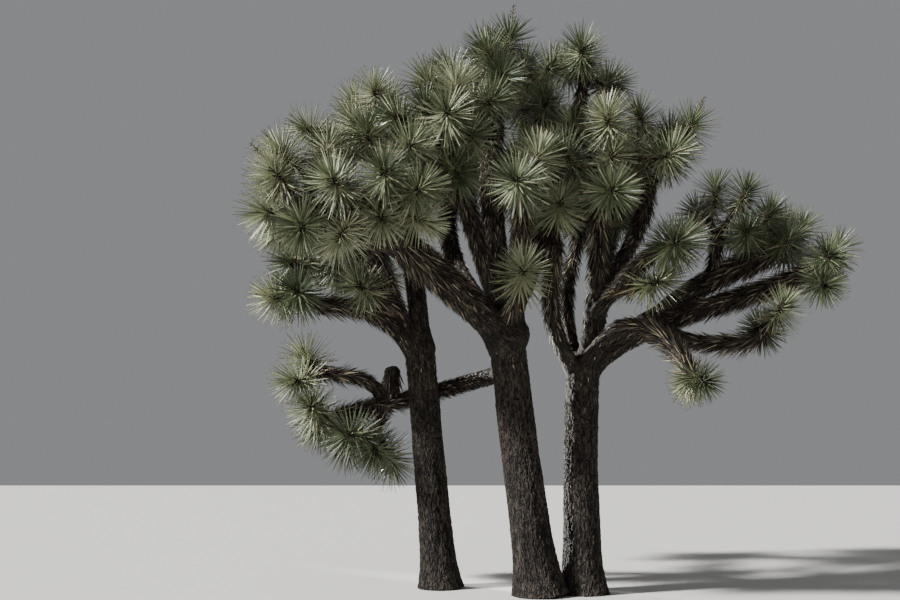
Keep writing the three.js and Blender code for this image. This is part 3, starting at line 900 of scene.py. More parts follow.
class GeometryTree(Nodes):
    """A Geometry Nodes tree with a geometry in and out, and named inputs for its sizes."""

    def __init__(self, name: str) -> None:
        """Makes the tree with its two geometry sockets.

        Args:
            name: The tree's name.
        """
        super().__init__(bpy.data.node_groups.new(name, "GeometryNodeTree"))
        for way in ("INPUT", "OUTPUT"):
            self.tree.interface.new_socket("Geometry", in_out=way, socket_type="NodeSocketGeometry")
        self.group_in = self.add("NodeGroupInput")
        self.group_out = self.add("NodeGroupOutput")
        self.values: dict[str, object] = {}

    def size(self, name: str, value: float | int) -> Socket:
        """Adds a named input.

        Args:
            name: Its name.
            value: Its value.

        Returns:
            The output that gives it.
        """
        kind = "NodeSocketInt" if isinstance(value, int) else "NodeSocketFloat"
        socket = self.tree.interface.new_socket(name, in_out="INPUT", socket_type=kind)
        self.values[socket.identifier] = value
        return self.group_in.outputs[name]

    def attribute(self, name: str, kind: str = "FLOAT_VECTOR") -> Socket:
        """Returns the output that reads a named attribute."""
        return self.out("GeometryNodeInputNamedAttribute", {"Name": name}, data_type=kind)

    def finish(self, geometry: Socket) -> None:
        """Sends a geometry to the tree's output."""
        self.tree.links.new(geometry, self.group_out.inputs[0])

    def put_on(self, target: bpy.types.Object) -> None:
        """Adds the tree to an object, with its inputs set by their identifiers.

        Args:
            target: The object.
        """
        modifier = target.modifiers.new("grown", "NODES")
        modifier.node_group = self.tree
        for identifier, value in self.values.items():
            modifier[identifier] = value


# Finishes

def paint(code: int) -> Row:
    """Reads an sRGB colour code.

    Args:
        code: The code, with two hexadecimal digits each for red, green and blue.

    Returns:
        The linear colour, with alpha.
    """
    parts = [(code >> shift & 255) / 255 for shift in (16, 8, 0)]
    linear = [c / 12.92 if c <= 0.04045 else ((c + 0.055) / 1.055) ** 2.4 for c in parts]
    return (*linear, 1.0)


class Finish:
    """A finish, whose material is made when it is first asked for."""

    name: str

    @property
    def material(self) -> bpy.types.Material:
        """Makes the material, or finds the one that is made.

        Returns:
            The material of this finish.
        """
        made = bpy.data.materials.get(self.name)
        if made is None:
            made = bpy.data.materials.new(self.name)
            made.use_nodes = True
            self.lay_on(Nodes(made.node_tree))
        return made

    def lay_on(self, nodes: Nodes) -> None:
        """Adds the look of the finish to its material's tree."""
        raise NotImplementedError


@dataclass(frozen=True)
class LeafFinish(Finish):
    """The waxy, finely grained skin of a leaf, in one plain colour."""

    name: str
    colour: int
    roughness: float = 0.55
    specular: float = 0.4
    roughness_swing: float = 0.12
    grain: Cloud = Cloud(60.0, 3.0)
    grain_span: Row = (0.3, 0.7)
    bump_strength: float = 0.25
    bump_distance: float = 0.002

    def lay_on(self, nodes: Nodes) -> None:
        """Adds the leaf's colour, gloss and grain.

        Args:
            nodes: The material's tree.
        """
        grain = nodes.cloud(nodes.add("ShaderNodeTexCoord").outputs["Object"], self.grain)
        least, most = self.roughness - self.roughness_swing, self.roughness + self.roughness_swing
        nodes.surface({
            "Base Color": paint(self.colour), "Specular IOR Level": self.specular,
            "Roughness": nodes.ramp(grain, self.grain_span, (least, most)),
            "Normal": nodes.bump(grain, self.bump_strength, self.bump_distance),
        })


@dataclass(frozen=True)
class BarkFinish(Finish):
    """Furrowed bark: dark in its furrows, partly the bark's own darker fissures and partly painted shade,
    with streaks and patches along its ridges.

    Furrow, ridge and worn are colours. A share says how much a pattern adds to the tone or the
    height, and a span gives the values between which one colour gives way to the next.
    """

    name: str
    furrow: int
    ridge: int
    worn: int
    spacing: float
    length: float
    roughness: float = 0.9
    specular: float = 0.2
    ridge_share: float = 0.3
    streaks: Cloud = Cloud((22.0, 22.0, 3.0), 5.0)
    streak_share: float = 0.7
    patches: Cloud = Cloud(2.2, 3.0)
    patch_share: float = 0.6
    worn_span: Row = (0.25, 0.75)
    furrow_span: Row = (0.1, 0.85)
    fibres: Cloud = Cloud((150.0, 150.0, 50.0), 4.0)
    fibre_share: float = 0.4
    bump_strength: float = 0.7
    bump_distance: float = 0.006

    def lay_on(self, nodes: Nodes) -> None:
        """Adds the bark's colours and its fine relief, laid along the wood by its grain attribute.

        Args:
            nodes: The material's tree.
        """
        grain = nodes.add("ShaderNodeAttribute", attribute_name="grain").outputs["Vector"]
        rise, shade = furrows(nodes, grain, self.spacing, self.length)
        streaks = nodes.math("MULTIPLY", nodes.cloud(grain, self.streaks), self.streak_share)
        tone = nodes.math("MULTIPLY_ADD", shade, self.ridge_share, streaks)
        patches = nodes.math("SUBTRACT", nodes.cloud(grain, self.patches), 0.5)
        tone = nodes.math("MULTIPLY_ADD", patches, self.patch_share, tone)
        ridges = nodes.mix(nodes.ramp(tone, self.worn_span), paint(self.ridge), paint(self.worn))
        height = nodes.math("MULTIPLY_ADD", nodes.cloud(grain, self.fibres), self.fibre_share, rise)
        nodes.surface({
            "Base Color": nodes.mix(nodes.ramp(rise, self.furrow_span), paint(self.furrow), ridges),
            "Roughness": self.roughness, "Specular IOR Level": self.specular,
            "Normal": nodes.bump(height, self.bump_strength, self.bump_distance),
        })


@dataclass(frozen=True)
class FloorFinish(Finish):
    """The plain pale floor."""

    name: str = "pale_floor"
    colour: int = 0xC3C1BD
    roughness: float = 0.9

    def lay_on(self, nodes: Nodes) -> None:
        """Adds the floor's colour."""
        nodes.surface({"Base Color": paint(self.colour), "Roughness": self.roughness})


@dataclass(frozen=True)
class FurrowLayer:
    """One of the layers of furrows: how it is shifted and scaled, its slope and its share."""

    shift: float
    scale: float
    slope: float
    share: float


FURROW_LAYERS = (FurrowLayer(0.0, 0.5, 0.1, 0.55), FurrowLayer(31.0, 1.15, 0.13, 0.45))
FURROW_STRETCH = 1.2
FURROW_CLOUD = Cloud(1.0, 2.0, 0.5)
SHADE_CLOUD = Cloud(0.8, 1.0)
SHADE_SPAN = (0.3, 0.7)


def furrows(nodes: Nodes, grain: Socket, spacing: object, length: object) -> tuple[Socket, Socket]:
    """Adds the nodes that furrow bark along its grain, for the relief and the colour alike.

    Args:
        nodes: The tree.
        grain: The output that gives the place in the straightened wood.
        spacing: The distance between two furrows.
        length: How far a furrow runs along the grain.

    Returns:
        The rise, from 0 in a furrow to 1 on a ridge, and the shade, from ridge to ridge.
    """
    cell = nodes.out("ShaderNodeCombineXYZ", {0: spacing, 1: spacing, 2: length})
    place = nodes.vector("DIVIDE", grain, cell)
    rise: object = 0.0
    for layer in FURROW_LAYERS:
        scale = (layer.scale, layer.scale, layer.scale * FURROW_STRETCH)
        at = nodes.vector("MULTIPLY_ADD", place, scale, (layer.shift,) * 3)
        middle = nodes.math("ABSOLUTE", nodes.math("SUBTRACT", nodes.cloud(at, FURROW_CLOUD), 0.5))
        rise = nodes.math("MULTIPLY_ADD", nodes.ramp(middle, (0.0, layer.slope)), layer.share, rise)
    return rise, nodes.ramp(nodes.cloud(place, SHADE_CLOUD), SHADE_SPAN)


# The first colour of each bark fills its furrows: darker fissures, deepened to near black as painted shade.
STEM_BARK = BarkFinish("stem_bark", 0x0A0908, 0x1D1916, 0x453E37, 0.017, 0.06)
BOUGH_BARK = BarkFinish("bough_bark", 0x0A0908, 0x1D1916, 0x433C34, 0.017, 0.08)
LEAF_TINTS = (
    LeafFinish("leaf_deep", 0x3F4833, 0.45),
    LeafFinish("leaf_green", 0x566045, 0.45),
    LeafFinish("leaf_dusty", 0x727A5C, 0.45),
    LeafFinish("leaf_sunlit", 0x96997C, 0.45),
)
LEAF_BASE = LeafFinish("leaf_base", 0xA0A180)
LEAF_TIP = LeafFinish("leaf_tip", 0x4D3F30)
# Old dead leaves are dark and fresh ones straw; the darkest tints are darker still as painted shade inside
# the crown.
DEAD_TINTS = (
    LeafFinish("dead_dark", 0x1E1A16, 0.8, 0.2),
    LeafFinish("dead_brown", 0x3A332B, 0.8, 0.2),
    LeafFinish("dead_grey", 0x62594C, 0.8, 0.2),
    LeafFinish("dead_straw", 0x9A8F78, 0.75, 0.25),
)
STALK = LeafFinish("dry_stalk", 0x54493B, 0.85, 0.2)


# Wood

@dataclass
class Bark:
    """The bark of the stems, and of the boughs that fork out of each of them.

    The seams are the shares of the stems' lengths at which the skins of the boughs begin.
    The datum is the height of a ridge at which the bark stays where it was.
    """

    stem_sides: int = 180
    stem_step: float = 0.0078
    bough_sides: int = 28
    bough_step: float = 0.05
    voxel: float = 0.0185
    easing: int = 7
    foot_band: float = 0.004
    collar: float = 0.35
    collar_length: float = 0.13
    hair: float = 0.15
    hair_from: float = 0.3
    furrow_depth: float = 0.01
    furrow_datum: float = 0.8
    ridge_swing: float = 0.45
    stem_share: float = 1.0
    bough_share: float = 0.8
    bough_seed: int = 10
    swell_depth: float = 0.034
    swell_scale: Row = (9.0, 9.0, 2.2)
    swells: Cloud = Cloud(1.0, 4.0)
    grain_steps: Row = (0.02, 0.04)
    grain_apart: float = 3.7
    seams: dict[str, float] = field(default_factory=lambda: {
        "stem_middle": 0.7, "stem_left": 0.76, "stem_right": 0.84,
    })

    POINTS_AT_ONCE = 4000

    def build(self, growth: Growth) -> list[bpy.types.Object]:
        """Makes a bark piece for each stem and one for the boughs of each stem.

        Args:
            growth: The lines of the plant.

        Returns:
            The pieces.
        """
        made = []
        for k, stem in enumerate(STEMS):
            made.append(self.stem_piece(growth.limbs[stem], k))
            made.append(self.bough_piece(growth, stem, k))
        return made

    def stem_piece(self, limb: Limb, seed: int) -> bpy.types.Object:
        """Makes a stem from its flat cut at the ground up to its seam below the fork.

        Args:
            limb: The stem.
            seed: The seed of its relief.

        Returns:
            The piece.
        """
        run = limb.run(self.stem_step, 0.0, self.seams[limb.name])
        points, faces = tube(run, self.stem_sides, rounded=False)
        name = "bark_" + limb.name
        piece = new_object(name, mesh_of(name, points, faces))
        set_attribute(piece.data, "grain", self.grain(points, [run]))
        self.relief(STEM_BARK, self.stem_share, seed).put_on(piece)
        for vertex in applied(piece).data.vertices:
            if vertex.co.z < self.foot_band:
                vertex.co.z = 0
        return dressed(piece, [limb.name])

    def bough_piece(self, growth: Growth, stem: str, seed: int) -> bpy.types.Object:
        """Makes the boughs of a stem as one skin that flows from limb to limb.

        Args:
            growth: The lines of the plant.
            stem: The name of the stem.
            seed: The seed of its relief.

        Returns:
            The piece.
        """
        trunk, *boughs = [limb for limb in growth.limbs.values() if limb.stem == stem]
        points, faces = joined([tube(self.collared(limb), self.bough_sides) for limb in (trunk, *boughs)])
        name = stem.replace("stem", "boughs")
        piece = new_object(name, mesh_of(name, points, faces))
        remesh = piece.modifiers.new("joined", "REMESH")
        remesh.mode = "VOXEL"
        remesh.voxel_size = self.voxel
        remesh.use_smooth_shade = True
        piece.modifiers.new("eased", "SMOOTH").iterations = self.easing
        piece = applied(piece)
        seam = self.seams[stem]
        cut_off(piece, trunk.line.point(seam), -trunk.line.tangent(seam))
        found = np.empty(len(piece.data.vertices) * 3, np.float32)
        piece.data.vertices.foreach_get("co", found)
        stem_step, bough_step = self.grain_steps
        runs = [trunk.run(stem_step)] + [limb.run(bough_step) for limb in boughs]
        set_attribute(piece.data, "grain", self.grain(found.reshape(-1, 3), runs))
        self.relief(BOUGH_BARK, self.bough_share, seed + self.bough_seed).put_on(piece)
        return dressed(applied(piece), [limb.name for limb in boughs])

    def collared(self, limb: Limb) -> Run:
        """Makes a limb's run, slimmer by its hair and with a collar where it leaves its parent.

        Args:
            limb: The limb.

        Returns:
            The run.
        """
        run = limb.run(self.bough_step)
        if limb.name not in STEMS:
            collar = self.collar * np.exp(-run.reach / self.collar_length)
            run.radii = run.radii * (1 - self.hair * smoothstep(run.reach, 0, self.hair_from) + collar)
        return run

    def grain(self, points: np.ndarray, runs: list[Run]) -> np.ndarray:
        """Finds where points of the bark lie in the straightened wood.

        Args:
            points: The points.
            runs: The limbs that they may belong to.

        Returns:
            For each point its place across, over and along the limb whose surface is nearest.
        """
        stations, radii, across, over, along = (
            np.concatenate([getattr(run, name) for run in runs])
            for name in ("points", "radii", "across", "over", "along")
        )
        reach = np.concatenate([run.reach + self.grain_apart * k for k, run in enumerate(runs)])
        found = []
        for part in np.array_split(points, max(1, len(points) // self.POINTS_AT_ONCE)):
            apart = np.linalg.norm(part[:, None] - stations[None], axis=2)
            nearest = np.abs(apart - radii).argmin(axis=1)
            way = part - stations[nearest]
            found.append(np.stack([
                (way * across[nearest]).sum(1), (way * over[nearest]).sum(1),
                reach[nearest] + (way * along[nearest]).sum(1),
            ], axis=1))
        return np.concatenate(found)

    def relief(self, finish: BarkFinish, share: float, seed: int) -> GeometryTree:
        """Makes the tree that raises ridges and swellings out of smooth bark.

        Args:
            finish: The finish of the bark.
            share: How much of the furrows' depth is used.
            seed: Shifts the pattern, so that no two pieces are alike.

        Returns:
            The tree.
        """
        tree = GeometryTree("bark_relief")
        spacing = tree.size("Furrow spacing", STEM_BARK.spacing)
        length = tree.size("Furrow length", STEM_BARK.length)
        depth = tree.size("Furrow depth", self.furrow_depth * share)
        swell = tree.size("Swell depth", self.swell_depth)
        shift = tree.size("Seed", seed)
        grain = tree.attribute("grain")
        rise, shade = furrows(tree, grain, spacing, length)
        place = tree.vector("ADD", tree.vector("MULTIPLY", grain, self.swell_scale), shift)
        swells = tree.math("SUBTRACT", tree.cloud(place, self.swells), 0.5)
        rise = tree.math("SUBTRACT", rise, self.furrow_datum)
        rise = tree.math("MULTIPLY", tree.math("MULTIPLY_ADD", shade, self.ridge_swing, rise), depth)
        rise = tree.math("MULTIPLY_ADD", swells, swell, rise)
        normal = tree.out("GeometryNodeInputNormal")
        offset = tree.out("ShaderNodeVectorMath", {0: normal, "Scale": rise}, operation="SCALE")
        moved = tree.out("GeometryNodeSetPosition", {"Geometry": tree.group_in.outputs[0], "Offset": offset})
        shown = tree.out("GeometryNodeRealizeInstances", {"Geometry": moved})
        tree.finish(tree.out("GeometryNodeSetMaterial", {"Geometry": shown, "Material": finish.material}))
        return tree


def cut_off(piece: bpy.types.Object, at: np.ndarray, side: np.ndarray) -> None:
    """Cuts away what lies on one side of a plane, and closes the cut.

    Args:
        piece: The object whose mesh is cut.
        at: A point of the plane.
        side: The unit vector that points to the side that goes.
    """
    form = bmesh.new()
    form.from_mesh(piece.data)
    whole = [*form.verts, *form.edges, *form.faces]
    cut = bmesh.ops.bisect_plane(form, geom=whole, plane_co=at, plane_no=side, clear_outer=True)
    edges = [part for part in cut["geom_cut"] if isinstance(part, bmesh.types.BMEdge)]
    for cap in bmesh.ops.edgeloop_fill(form, edges=edges)["faces"]:
        cap.normal_update()
        if cap.normal.dot(Vector(side.tolist())) < 0:
            cap.normal_flip()
    form.to_mesh(piece.data)
    form.free()


def dressed(piece: bpy.types.Object, nodes: list[str]) -> bpy.types.Object:
    """Lets a finished piece ride on the plant and stand for the nodes that it replaces.

    Args:
        piece: The piece.
        nodes: The names of the nodes, if any.

    Returns:
        The piece.
    """
    for name in [a.name for a in piece.data.attributes if a.name in POINT_FACTS]:
        piece.data.attributes.remove(piece.data.attributes[name])
    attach(piece, BODY)
    if nodes:
        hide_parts(*nodes)
    LOG.info("%s: %d triangles", piece.name, len(piece.data.loops) - 2 * len(piece.data.polygons))
    return piece


@dataclass
class Twigs:
    """The wood of the twigs between the boughs and the heads."""

    sides: int = 9
    knot: float = 0.05
    knot_fullness: float = 1.05
    knot_reach: float = 0.085
    knot_back: float = 0.02
    knot_stations: int = 7

    def build(self, growth: Growth) -> bpy.types.Object:
        """Makes the twigs of all the masses as one piece.

        Args:
            growth: The lines of the plant.

        Returns:
            The piece.
        """
        parts = []
        for twig in (twig for mass in growth.masses for twig in mass.twigs):
            parts.append(tube(twig.run(), self.sides))
            if twig.head:
                parts.append(self.bud(twig.head))
        points, faces = joined(parts)
        mesh = mesh_of("twigs", points, faces)
        set_attribute(mesh, "grain", points)
        mesh.materials.append(BOUGH_BARK.material)
        return dressed(new_object("twigs", mesh), [mass.name for mass in growth.masses])

    def bud(self, head: Head) -> Part:
        """Makes the knot of leaf bases in the middle of a head.

        Args:
            head: The head.

        Returns:
            The points and faces of the knot.
        """
        t = np.linspace(-1, 1, self.knot_stations)
        points = head.centre + head.direction * (t[:, None] * self.knot_reach - self.knot_back)
        return tube(Run(points, self.knot * np.sqrt(self.knot_fullness - t * t)), self.sides)


# Leaves

@dataclass
class Blades:
    """Places for blades: where each starts, its way, its upper side, size, tint and owner."""

    start: list[np.ndarray] = field(default_factory=list)
    direction: list[np.ndarray] = field(default_factory=list)
    face: list[np.ndarray] = field(default_factory=list)
    size: list[np.ndarray] = field(default_factory=list)
    tint: list[np.ndarray] = field(default_factory=list)
    owner: list[np.ndarray] = field(default_factory=list)

    def add(self, owner: int, start: np.ndarray, direction: np.ndarray, face: np.ndarray,
            width: np.ndarray, length: np.ndarray, tint: np.ndarray) -> None:
        """Adds a group of blades.

        Args:
            owner: The place of the mass or limb that they belong to.
            start: Where they start.
            direction: Their unit directions.
            face: The way in which their upper sides look.
            width: Their widths.
            length: Their lengths.
            tint: The places of their tints in the palette.
        """
        self.start.append(start)
        self.direction.append(direction)
        self.face.append(face)
        self.size.append(np.stack([width, width, length], axis=1))
        self.tint.append(tint)
        self.owner.append(np.full(len(start), owner))

    def shared_out(self, most: int) -> Iterator["Blades"]:
        """Deals the blades out in lots of about the same size.

        Args:
            most: The most blades that a lot may have.

        Yields:
            The lots.
        """
        owner = np.concatenate(self.owner)
        for chosen in np.array_split(np.arange(len(owner)), math.ceil(len(owner) / most)):
            yield Blades(*([np.concatenate(getattr(self, part.name))[chosen]] for part in fields(self)))


@dataclass(frozen=True)
class BladeShape:
    """The outline of a dagger leaf: rings of three corners, and a point at the end."""

    rings: tuple[tuple[float, float], ...]
    keel: float
    bend: float

    CORNERS = 3

    def object(self, name: str) -> bpy.types.Object:
        """Makes a blade of length and width one along +Z, with its upper side to -Y.

        Args:
            name: The name of its object.

        Returns:
            The object, whose faces know whether they are base, 0, blade, 1, or tip, 2.
        """
        points, faces, parts = [], [(0, 2, 1)], [0]
        for z, width in self.rings:
            back = self.bend * z * z
            points += [(-width / 2, back, z), (width / 2, back, z), (0, back + self.keel * width, z)]
        points.append((0, self.bend, 1.0))
        tip = len(points) - 1
        for low in range(0, tip, self.CORNERS):
            high = low + self.CORNERS
            for j in range(self.CORNERS):
                a, b = low + j, low + (j + 1) % self.CORNERS
                faces.append((a, b, tip) if high == tip else (a, b, b + self.CORNERS, a + self.CORNERS))
                parts.append(2 if high == tip else int(low > 0 or len(self.rings) == 2))
        mesh = mesh_of(name, np.array(points, float), faces)
        set_attribute(mesh, "part", np.array(parts), "FACE")
        return new_object(name, mesh)


LIVE_SHAPES = tuple(
    BladeShape(((0.0, 0.8), (0.13, 1.0), (0.86, 0.34)), 0.4, bend) for bend in (-0.06, 0.02, 0.1)
)
DEAD_SHAPES = tuple(
    BladeShape(((0.0, 0.9), (0.55, 0.75)), 0.35, bend) for bend in (-0.12, 0.04, 0.2)
)


class Foliage(Enum):
    """The kinds of blades: live leaves, and the dead ones that clothe the wood."""

    LIVE = "leaves"
    DEAD = "thatch"

    @property
    def shapes(self) -> tuple[BladeShape, ...]:
        """Returns the outlines of this kind."""
        return LIVE_SHAPES if self is Foliage.LIVE else DEAD_SHAPES

    @property
    def triangles(self) -> int:
        """Returns the number of triangles in a blade of this kind, two a corner but for its ends."""
        return BladeShape.CORNERS * 2 * len(self.shapes[0].rings) - 2

    @property
    def twist(self) -> float:
        """Returns how far a blade may be turned about its own length, in degrees."""
        return 14.0 if self is Foliage.LIVE else 40.0

    @property
    def tints(self) -> tuple[LeafFinish, ...]:
        """Returns the finishes that are dealt out among the blades of this kind."""
        return LEAF_TINTS if self is Foliage.LIVE else DEAD_TINTS


def scatter_tree(kind: Foliage, blades: list[bpy.types.Object], seed: int) -> GeometryTree:
    """Makes the tree that stands a blade on every point and gives it its finish.

    Args:
        kind: The kind of blades.
        blades: The blades that it copies.
        seed: The seed of each blade's turn and of the choice among the shapes.

    Returns:
        The tree.
    """
    tree = GeometryTree("blades_on_points")
    most = tree.size("Twist", math.radians(kind.twist))
    seed_in = tree.size("Seed", seed)
    join = tree.add("GeometryNodeJoinGeometry")
    for blade in blades:
        info = tree.add("GeometryNodeObjectInfo", {"Object": blade, "As Instance": True})
        tree.tree.links.new(info.outputs["Geometry"], join.inputs[0])
    align = "FunctionNodeAlignRotationToVector"
    turned = tree.out(align, {"Vector": tree.attribute("direction")}, axis="Z")
    turned = tree.out(align, {"Rotation": turned, "Vector": tree.attribute("face")}, axis="Y", pivot_axis="Z")
    chance = "FunctionNodeRandomValue"
    least = tree.math("MULTIPLY", most, -1.0)
    roll = tree.add(chance, {2: least, 3: most, 8: seed_in}, data_type="FLOAT").outputs[1]
    roll = tree.out("FunctionNodeEulerToRotation", {0: tree.out("ShaderNodeCombineXYZ", {2: roll})})
    turned = tree.out("FunctionNodeRotateRotation", {0: turned, 1: roll}, rotation_space="LOCAL")
    pick = tree.add(chance, {4: 0, 5: len(blades) - 1, 8: seed_in}, data_type="INT").outputs[2]
    placed = tree.out("GeometryNodeInstanceOnPoints", {
        "Points": tree.group_in.outputs[0], "Instance": join.outputs[0], "Pick Instance": True,
        "Instance Index": pick, "Rotation": turned, "Scale": tree.attribute("size"),
    })
    shown = tree.out("GeometryNodeRealizeInstances", {"Geometry": placed})
    wearing = [("tint", k, finish) for k, finish in enumerate(kind.tints)]
    if kind is Foliage.LIVE:
        wearing += [("part", 0, LEAF_BASE), ("part", 2, LEAF_TIP)]
    for name, value, finish in wearing:
        chosen = tree.out("FunctionNodeCompare", {2: tree.attribute(name, "INT"), 3: value},
                          data_type="INT", operation="EQUAL")
        shown = tree.out("GeometryNodeSetMaterial",
                         {"Geometry": shown, "Selection": chosen, "Material": finish.material})
    tree.finish(shown)
    return tree


def scatter(name: str, kind: Foliage, blades: Blades, seed: int) -> bpy.types.Object:
    """Makes one object of blades.

    Args:
        name: The name of the object.
        kind: The kind of blades.
        blades: Where they stand.
        seed: The seed of what is random.

    Returns:
        The object.
    """
    mesh = mesh_of(name, np.concatenate(blades.start), [])
    for fact in POINT_FACTS:
        set_attribute(mesh, fact, np.concatenate(getattr(blades, fact)))
    piece = new_object(name, mesh)
    samples = [shape.object(f"blade_{k}") for k, shape in enumerate(kind.shapes)]
    scatter_tree(kind, samples, seed).put_on(piece)
    piece = applied(piece)
    for sample in samples:
        bpy.data.meshes.remove(sample.data)
    return piece


def foliage_pieces(name: str, kind: Foliage, blades: Blades, seed: int,
                   nodes: list[str]) -> list[bpy.types.Object]:
    """Makes pieces of blades, each of a fit size.

    Args:
        name: What their names begin with.
        kind: The kind of blades.
        blades: Where they stand.
        seed: The seed of what is random.
        nodes: The nodes that the owners of the blades are, where the pieces replace them.

    Returns:
        The pieces.
    """
    made = []
    for k, lot in enumerate(blades.shared_out(PIECE_LIMIT // kind.triangles)):
        piece = scatter(f"{name}_{k + 1}", kind, lot, seed + k)
        owners = sorted(set(lot.owner[0].tolist())) if nodes else []
        made.append(dressed(piece, [nodes[owner] for owner in owners]))
    return made


@dataclass
class Heads:
    """The live leaves of every head, from the upright ones in its middle to the low ones.

    A spread gives the least and the most that chance makes of a size. Young and width_by_leaf
    are each what every leaf has of its full size and what it may gain, further from the middle
    of the head and with the head's leaf share.
    """

    leaves: int = 170
    width: float = 0.0185
    width_by_leaf: Row = (0.4, 0.6)
    width_spread: Row = (0.82, 1.12)
    length: float = 0.325
    longest: float = 1.06
    young: Row = (0.74, 0.26)
    young_share: float = 0.16
    shortest: float = 0.11
    widest_polar: float = 118.0
    wobble: float = 5.0
    droop_spread: Row = (0.4, 1.6)
    cup: float = 0.01
    seat: float = 0.036
    seat_front: float = 0.03
    seat_back: float = 0.2
    seat_curve: float = 1.3
    crowding: float = 2.2
    overlap: float = 1.35
    clearance: float = 0.006
    tested: Row = (0.35, 0.6, 0.8, 1.0)
    askew: Row = (0.31, 0.87, 0.39)
    stray_tints: tuple[int, ...] = (-2, -1, -1, 0, 0, 0, 0, 1, 1, 2)
    seed: int = 41

    def build(self, growth: Growth) -> list[bpy.types.Object]:
        """Makes the leaves of all the heads, in pieces of a fit size.

        Args:
            growth: The lines of the plant.

        Returns:
            The pieces.
        """
        blades = Blades()
        random = np.random.default_rng(self.seed)
        centres = np.array([head.centre for mass in growth.masses for head in mass.heads])
        for owner, mass in enumerate(growth.masses):
            sleeves = growth.sleeves(mass)
            for head in mass.heads:
                self.head(head, owner, blades, centres, sleeves, random)
        names = [mass.name for mass in growth.masses]
        return foliage_pieces("leaves", Foliage.LIVE, blades, self.seed, names)

    def head(self, head: Head, owner: int, blades: Blades, centres: np.ndarray,
             sleeves: tuple[np.ndarray, np.ndarray], random: np.random.Generator) -> None:
        """Adds the leaves of one head.

        Args:
            head: The head.
            owner: The place of its mass.
            blades: What the leaves are added to.
            centres: The middles of all the heads.
            sleeves: Points with radii that stand for the wood that leaves keep off.
            random: The source of what is random.
        """
        count = self.leaves
        index = np.arange(count)
        share = (index + 0.5) / count
        lowest = math.cos(math.radians(self.widest_polar))
        polar = np.arccos(1 - (1 - lowest) * share) + np.radians(random.uniform(-1, 1, count) * self.wobble)
        angle = np.radians(index * GOLDEN_TURN + random.uniform(-1, 1, count) * self.wobble) + head.seed
        axis = head.direction
        side = unit(np.cross(axis, self.askew))
        out = side * np.cos(angle)[:, None] + np.cross(axis, side) * np.sin(angle)[:, None]
        direction = axis * np.cos(polar)[:, None] + out * np.sin(polar)[:, None]
        droop = HABIT.leaf_droop * (1 - np.cos(polar)) * random.uniform(*self.droop_spread, count)
        direction = unit(direction - UP * droop[:, None])
        back = (self.seat_back + self.seat_front) * share**self.seat_curve - self.seat_front
        start = head.centre - axis * back[:, None] + out * self.seat * np.sin(polar)[:, None]
        young = self.young[0] + self.young[1] * smoothstep(share, 0.0, self.young_share)
        length = self.length * head.leaf * (self.longest - HABIT.leaf_spread * random.random(count)) * young
        length = self.room_for(head.centre, direction, length + self.seat, centres) - self.seat
        keep = (length > self.shortest) & ~self.touches(start, direction, length, head.centre, sleeves)
        slimness = self.width_by_leaf[0] + self.width_by_leaf[1] * head.leaf
        width = self.width * slimness * random.uniform(*self.width_spread, count)
        # The tints carry the mass's painted light (shade up) and painted shade (shade down).
        tint = self.tints(head, list(MASSES.values())[owner].shade, random)
        face = -axis + out * self.cup
        blades.add(owner, start[keep], direction[keep], face[keep], width[keep], length[keep], tint[keep])

    def tints(self, head: Head, shade: int, random: np.random.Generator) -> np.ndarray:
        """Deals out the tints of a head, most leaves alike and some a shade off.

        Args:
            head: The head.
            shade: How far its mass moves its tints, up as painted light and down as painted shade.
            random: The source of what is random.

        Returns:
            The places of the tints in the palette.
        """
        last = len(LEAF_TINTS) - 1
        usual = np.clip(head.seed % len(LEAF_TINTS) + shade, 0, last)
        return np.clip(usual + random.choice(self.stray_tints, self.leaves), 0, last)

    def room_for(self, centre: np.ndarray, direction: np.ndarray, reach: np.ndarray,
                 centres: np.ndarray) -> np.ndarray:
        """Shortens leaves that would reach far into the room of another head.

        Args:
            centre: The middle of the head.
            direction: The directions of its leaves.
            reach: How far they would reach.
            centres: The middles of all the heads.

        Returns:
            How far they may reach.
        """
        apart = centres - centre
        distance = np.linalg.norm(apart, axis=1)
        near = (distance > 0) & (distance < self.crowding * HABIT.leaf_reach)
        towards = direction @ apart[near].T
        limit = distance[near] ** 2 / 2 * self.overlap / np.maximum(towards, TINY)
        return np.minimum(reach, limit.min(axis=1)) if near.any() else reach

    def touches(self, start: np.ndarray, direction: np.ndarray, length: np.ndarray, centre: np.ndarray,
                sleeves: tuple[np.ndarray, np.ndarray]) -> np.ndarray:
        """Finds the leaves that would run into a limb or into the twigs of another mass.

        Args:
            start: Where the leaves of a head start.
            direction: Their directions.
            length: Their lengths.
            centre: The middle of the head.
            sleeves: Points with radii that stand for the wood.

        Returns:
            Whether each leaf runs into wood.
        """
        points, radii = sleeves
        near = np.linalg.norm(points - centre, axis=1) < HABIT.leaf_reach + radii + self.clearance
        hit = np.zeros(len(start), bool)
        if near.any():
            for share in self.tested:
                at = start + direction * (length * share)[:, None]
                gap = np.linalg.norm(at[:, None] - points[near][None], axis=2) - radii[near]
                hit |= gap.min(axis=1) < self.clearance
        return hit


@dataclass(frozen=True)
class Coat:
    """How dead leaves clothe a kind of wood.

    Length, lift and freshness are each a least number and what the shag of a place adds to it.
    A spread gives the least and the most that chance makes of it, and the lift is in degrees.
    """

    spacing: float
    length: Row
    length_spread: Row
    lift: Row
    lift_spread: Row
    freshness: Row

    def leaves(self, shag: np.ndarray, random: np.random.Generator) -> Iterator[np.ndarray]:
        """Draws the lengths of leaves and how they stand off the wood, and says how fresh they are.

        Args:
            shag: How shaggy the wood is where each grows, from 0 to 1.
            random: The source of what is random.

        Yields:
            The lengths, the angles in radians, and how freshly dead the leaves are.
        """
        count = len(shag)
        yield (self.length[0] + self.length[1] * shag) * random.uniform(*self.length_spread, count)
        yield np.radians(self.lift[0] + self.lift[1] * shag + random.uniform(*self.lift_spread, count))
        yield self.freshness[0] + self.freshness[1] * shag


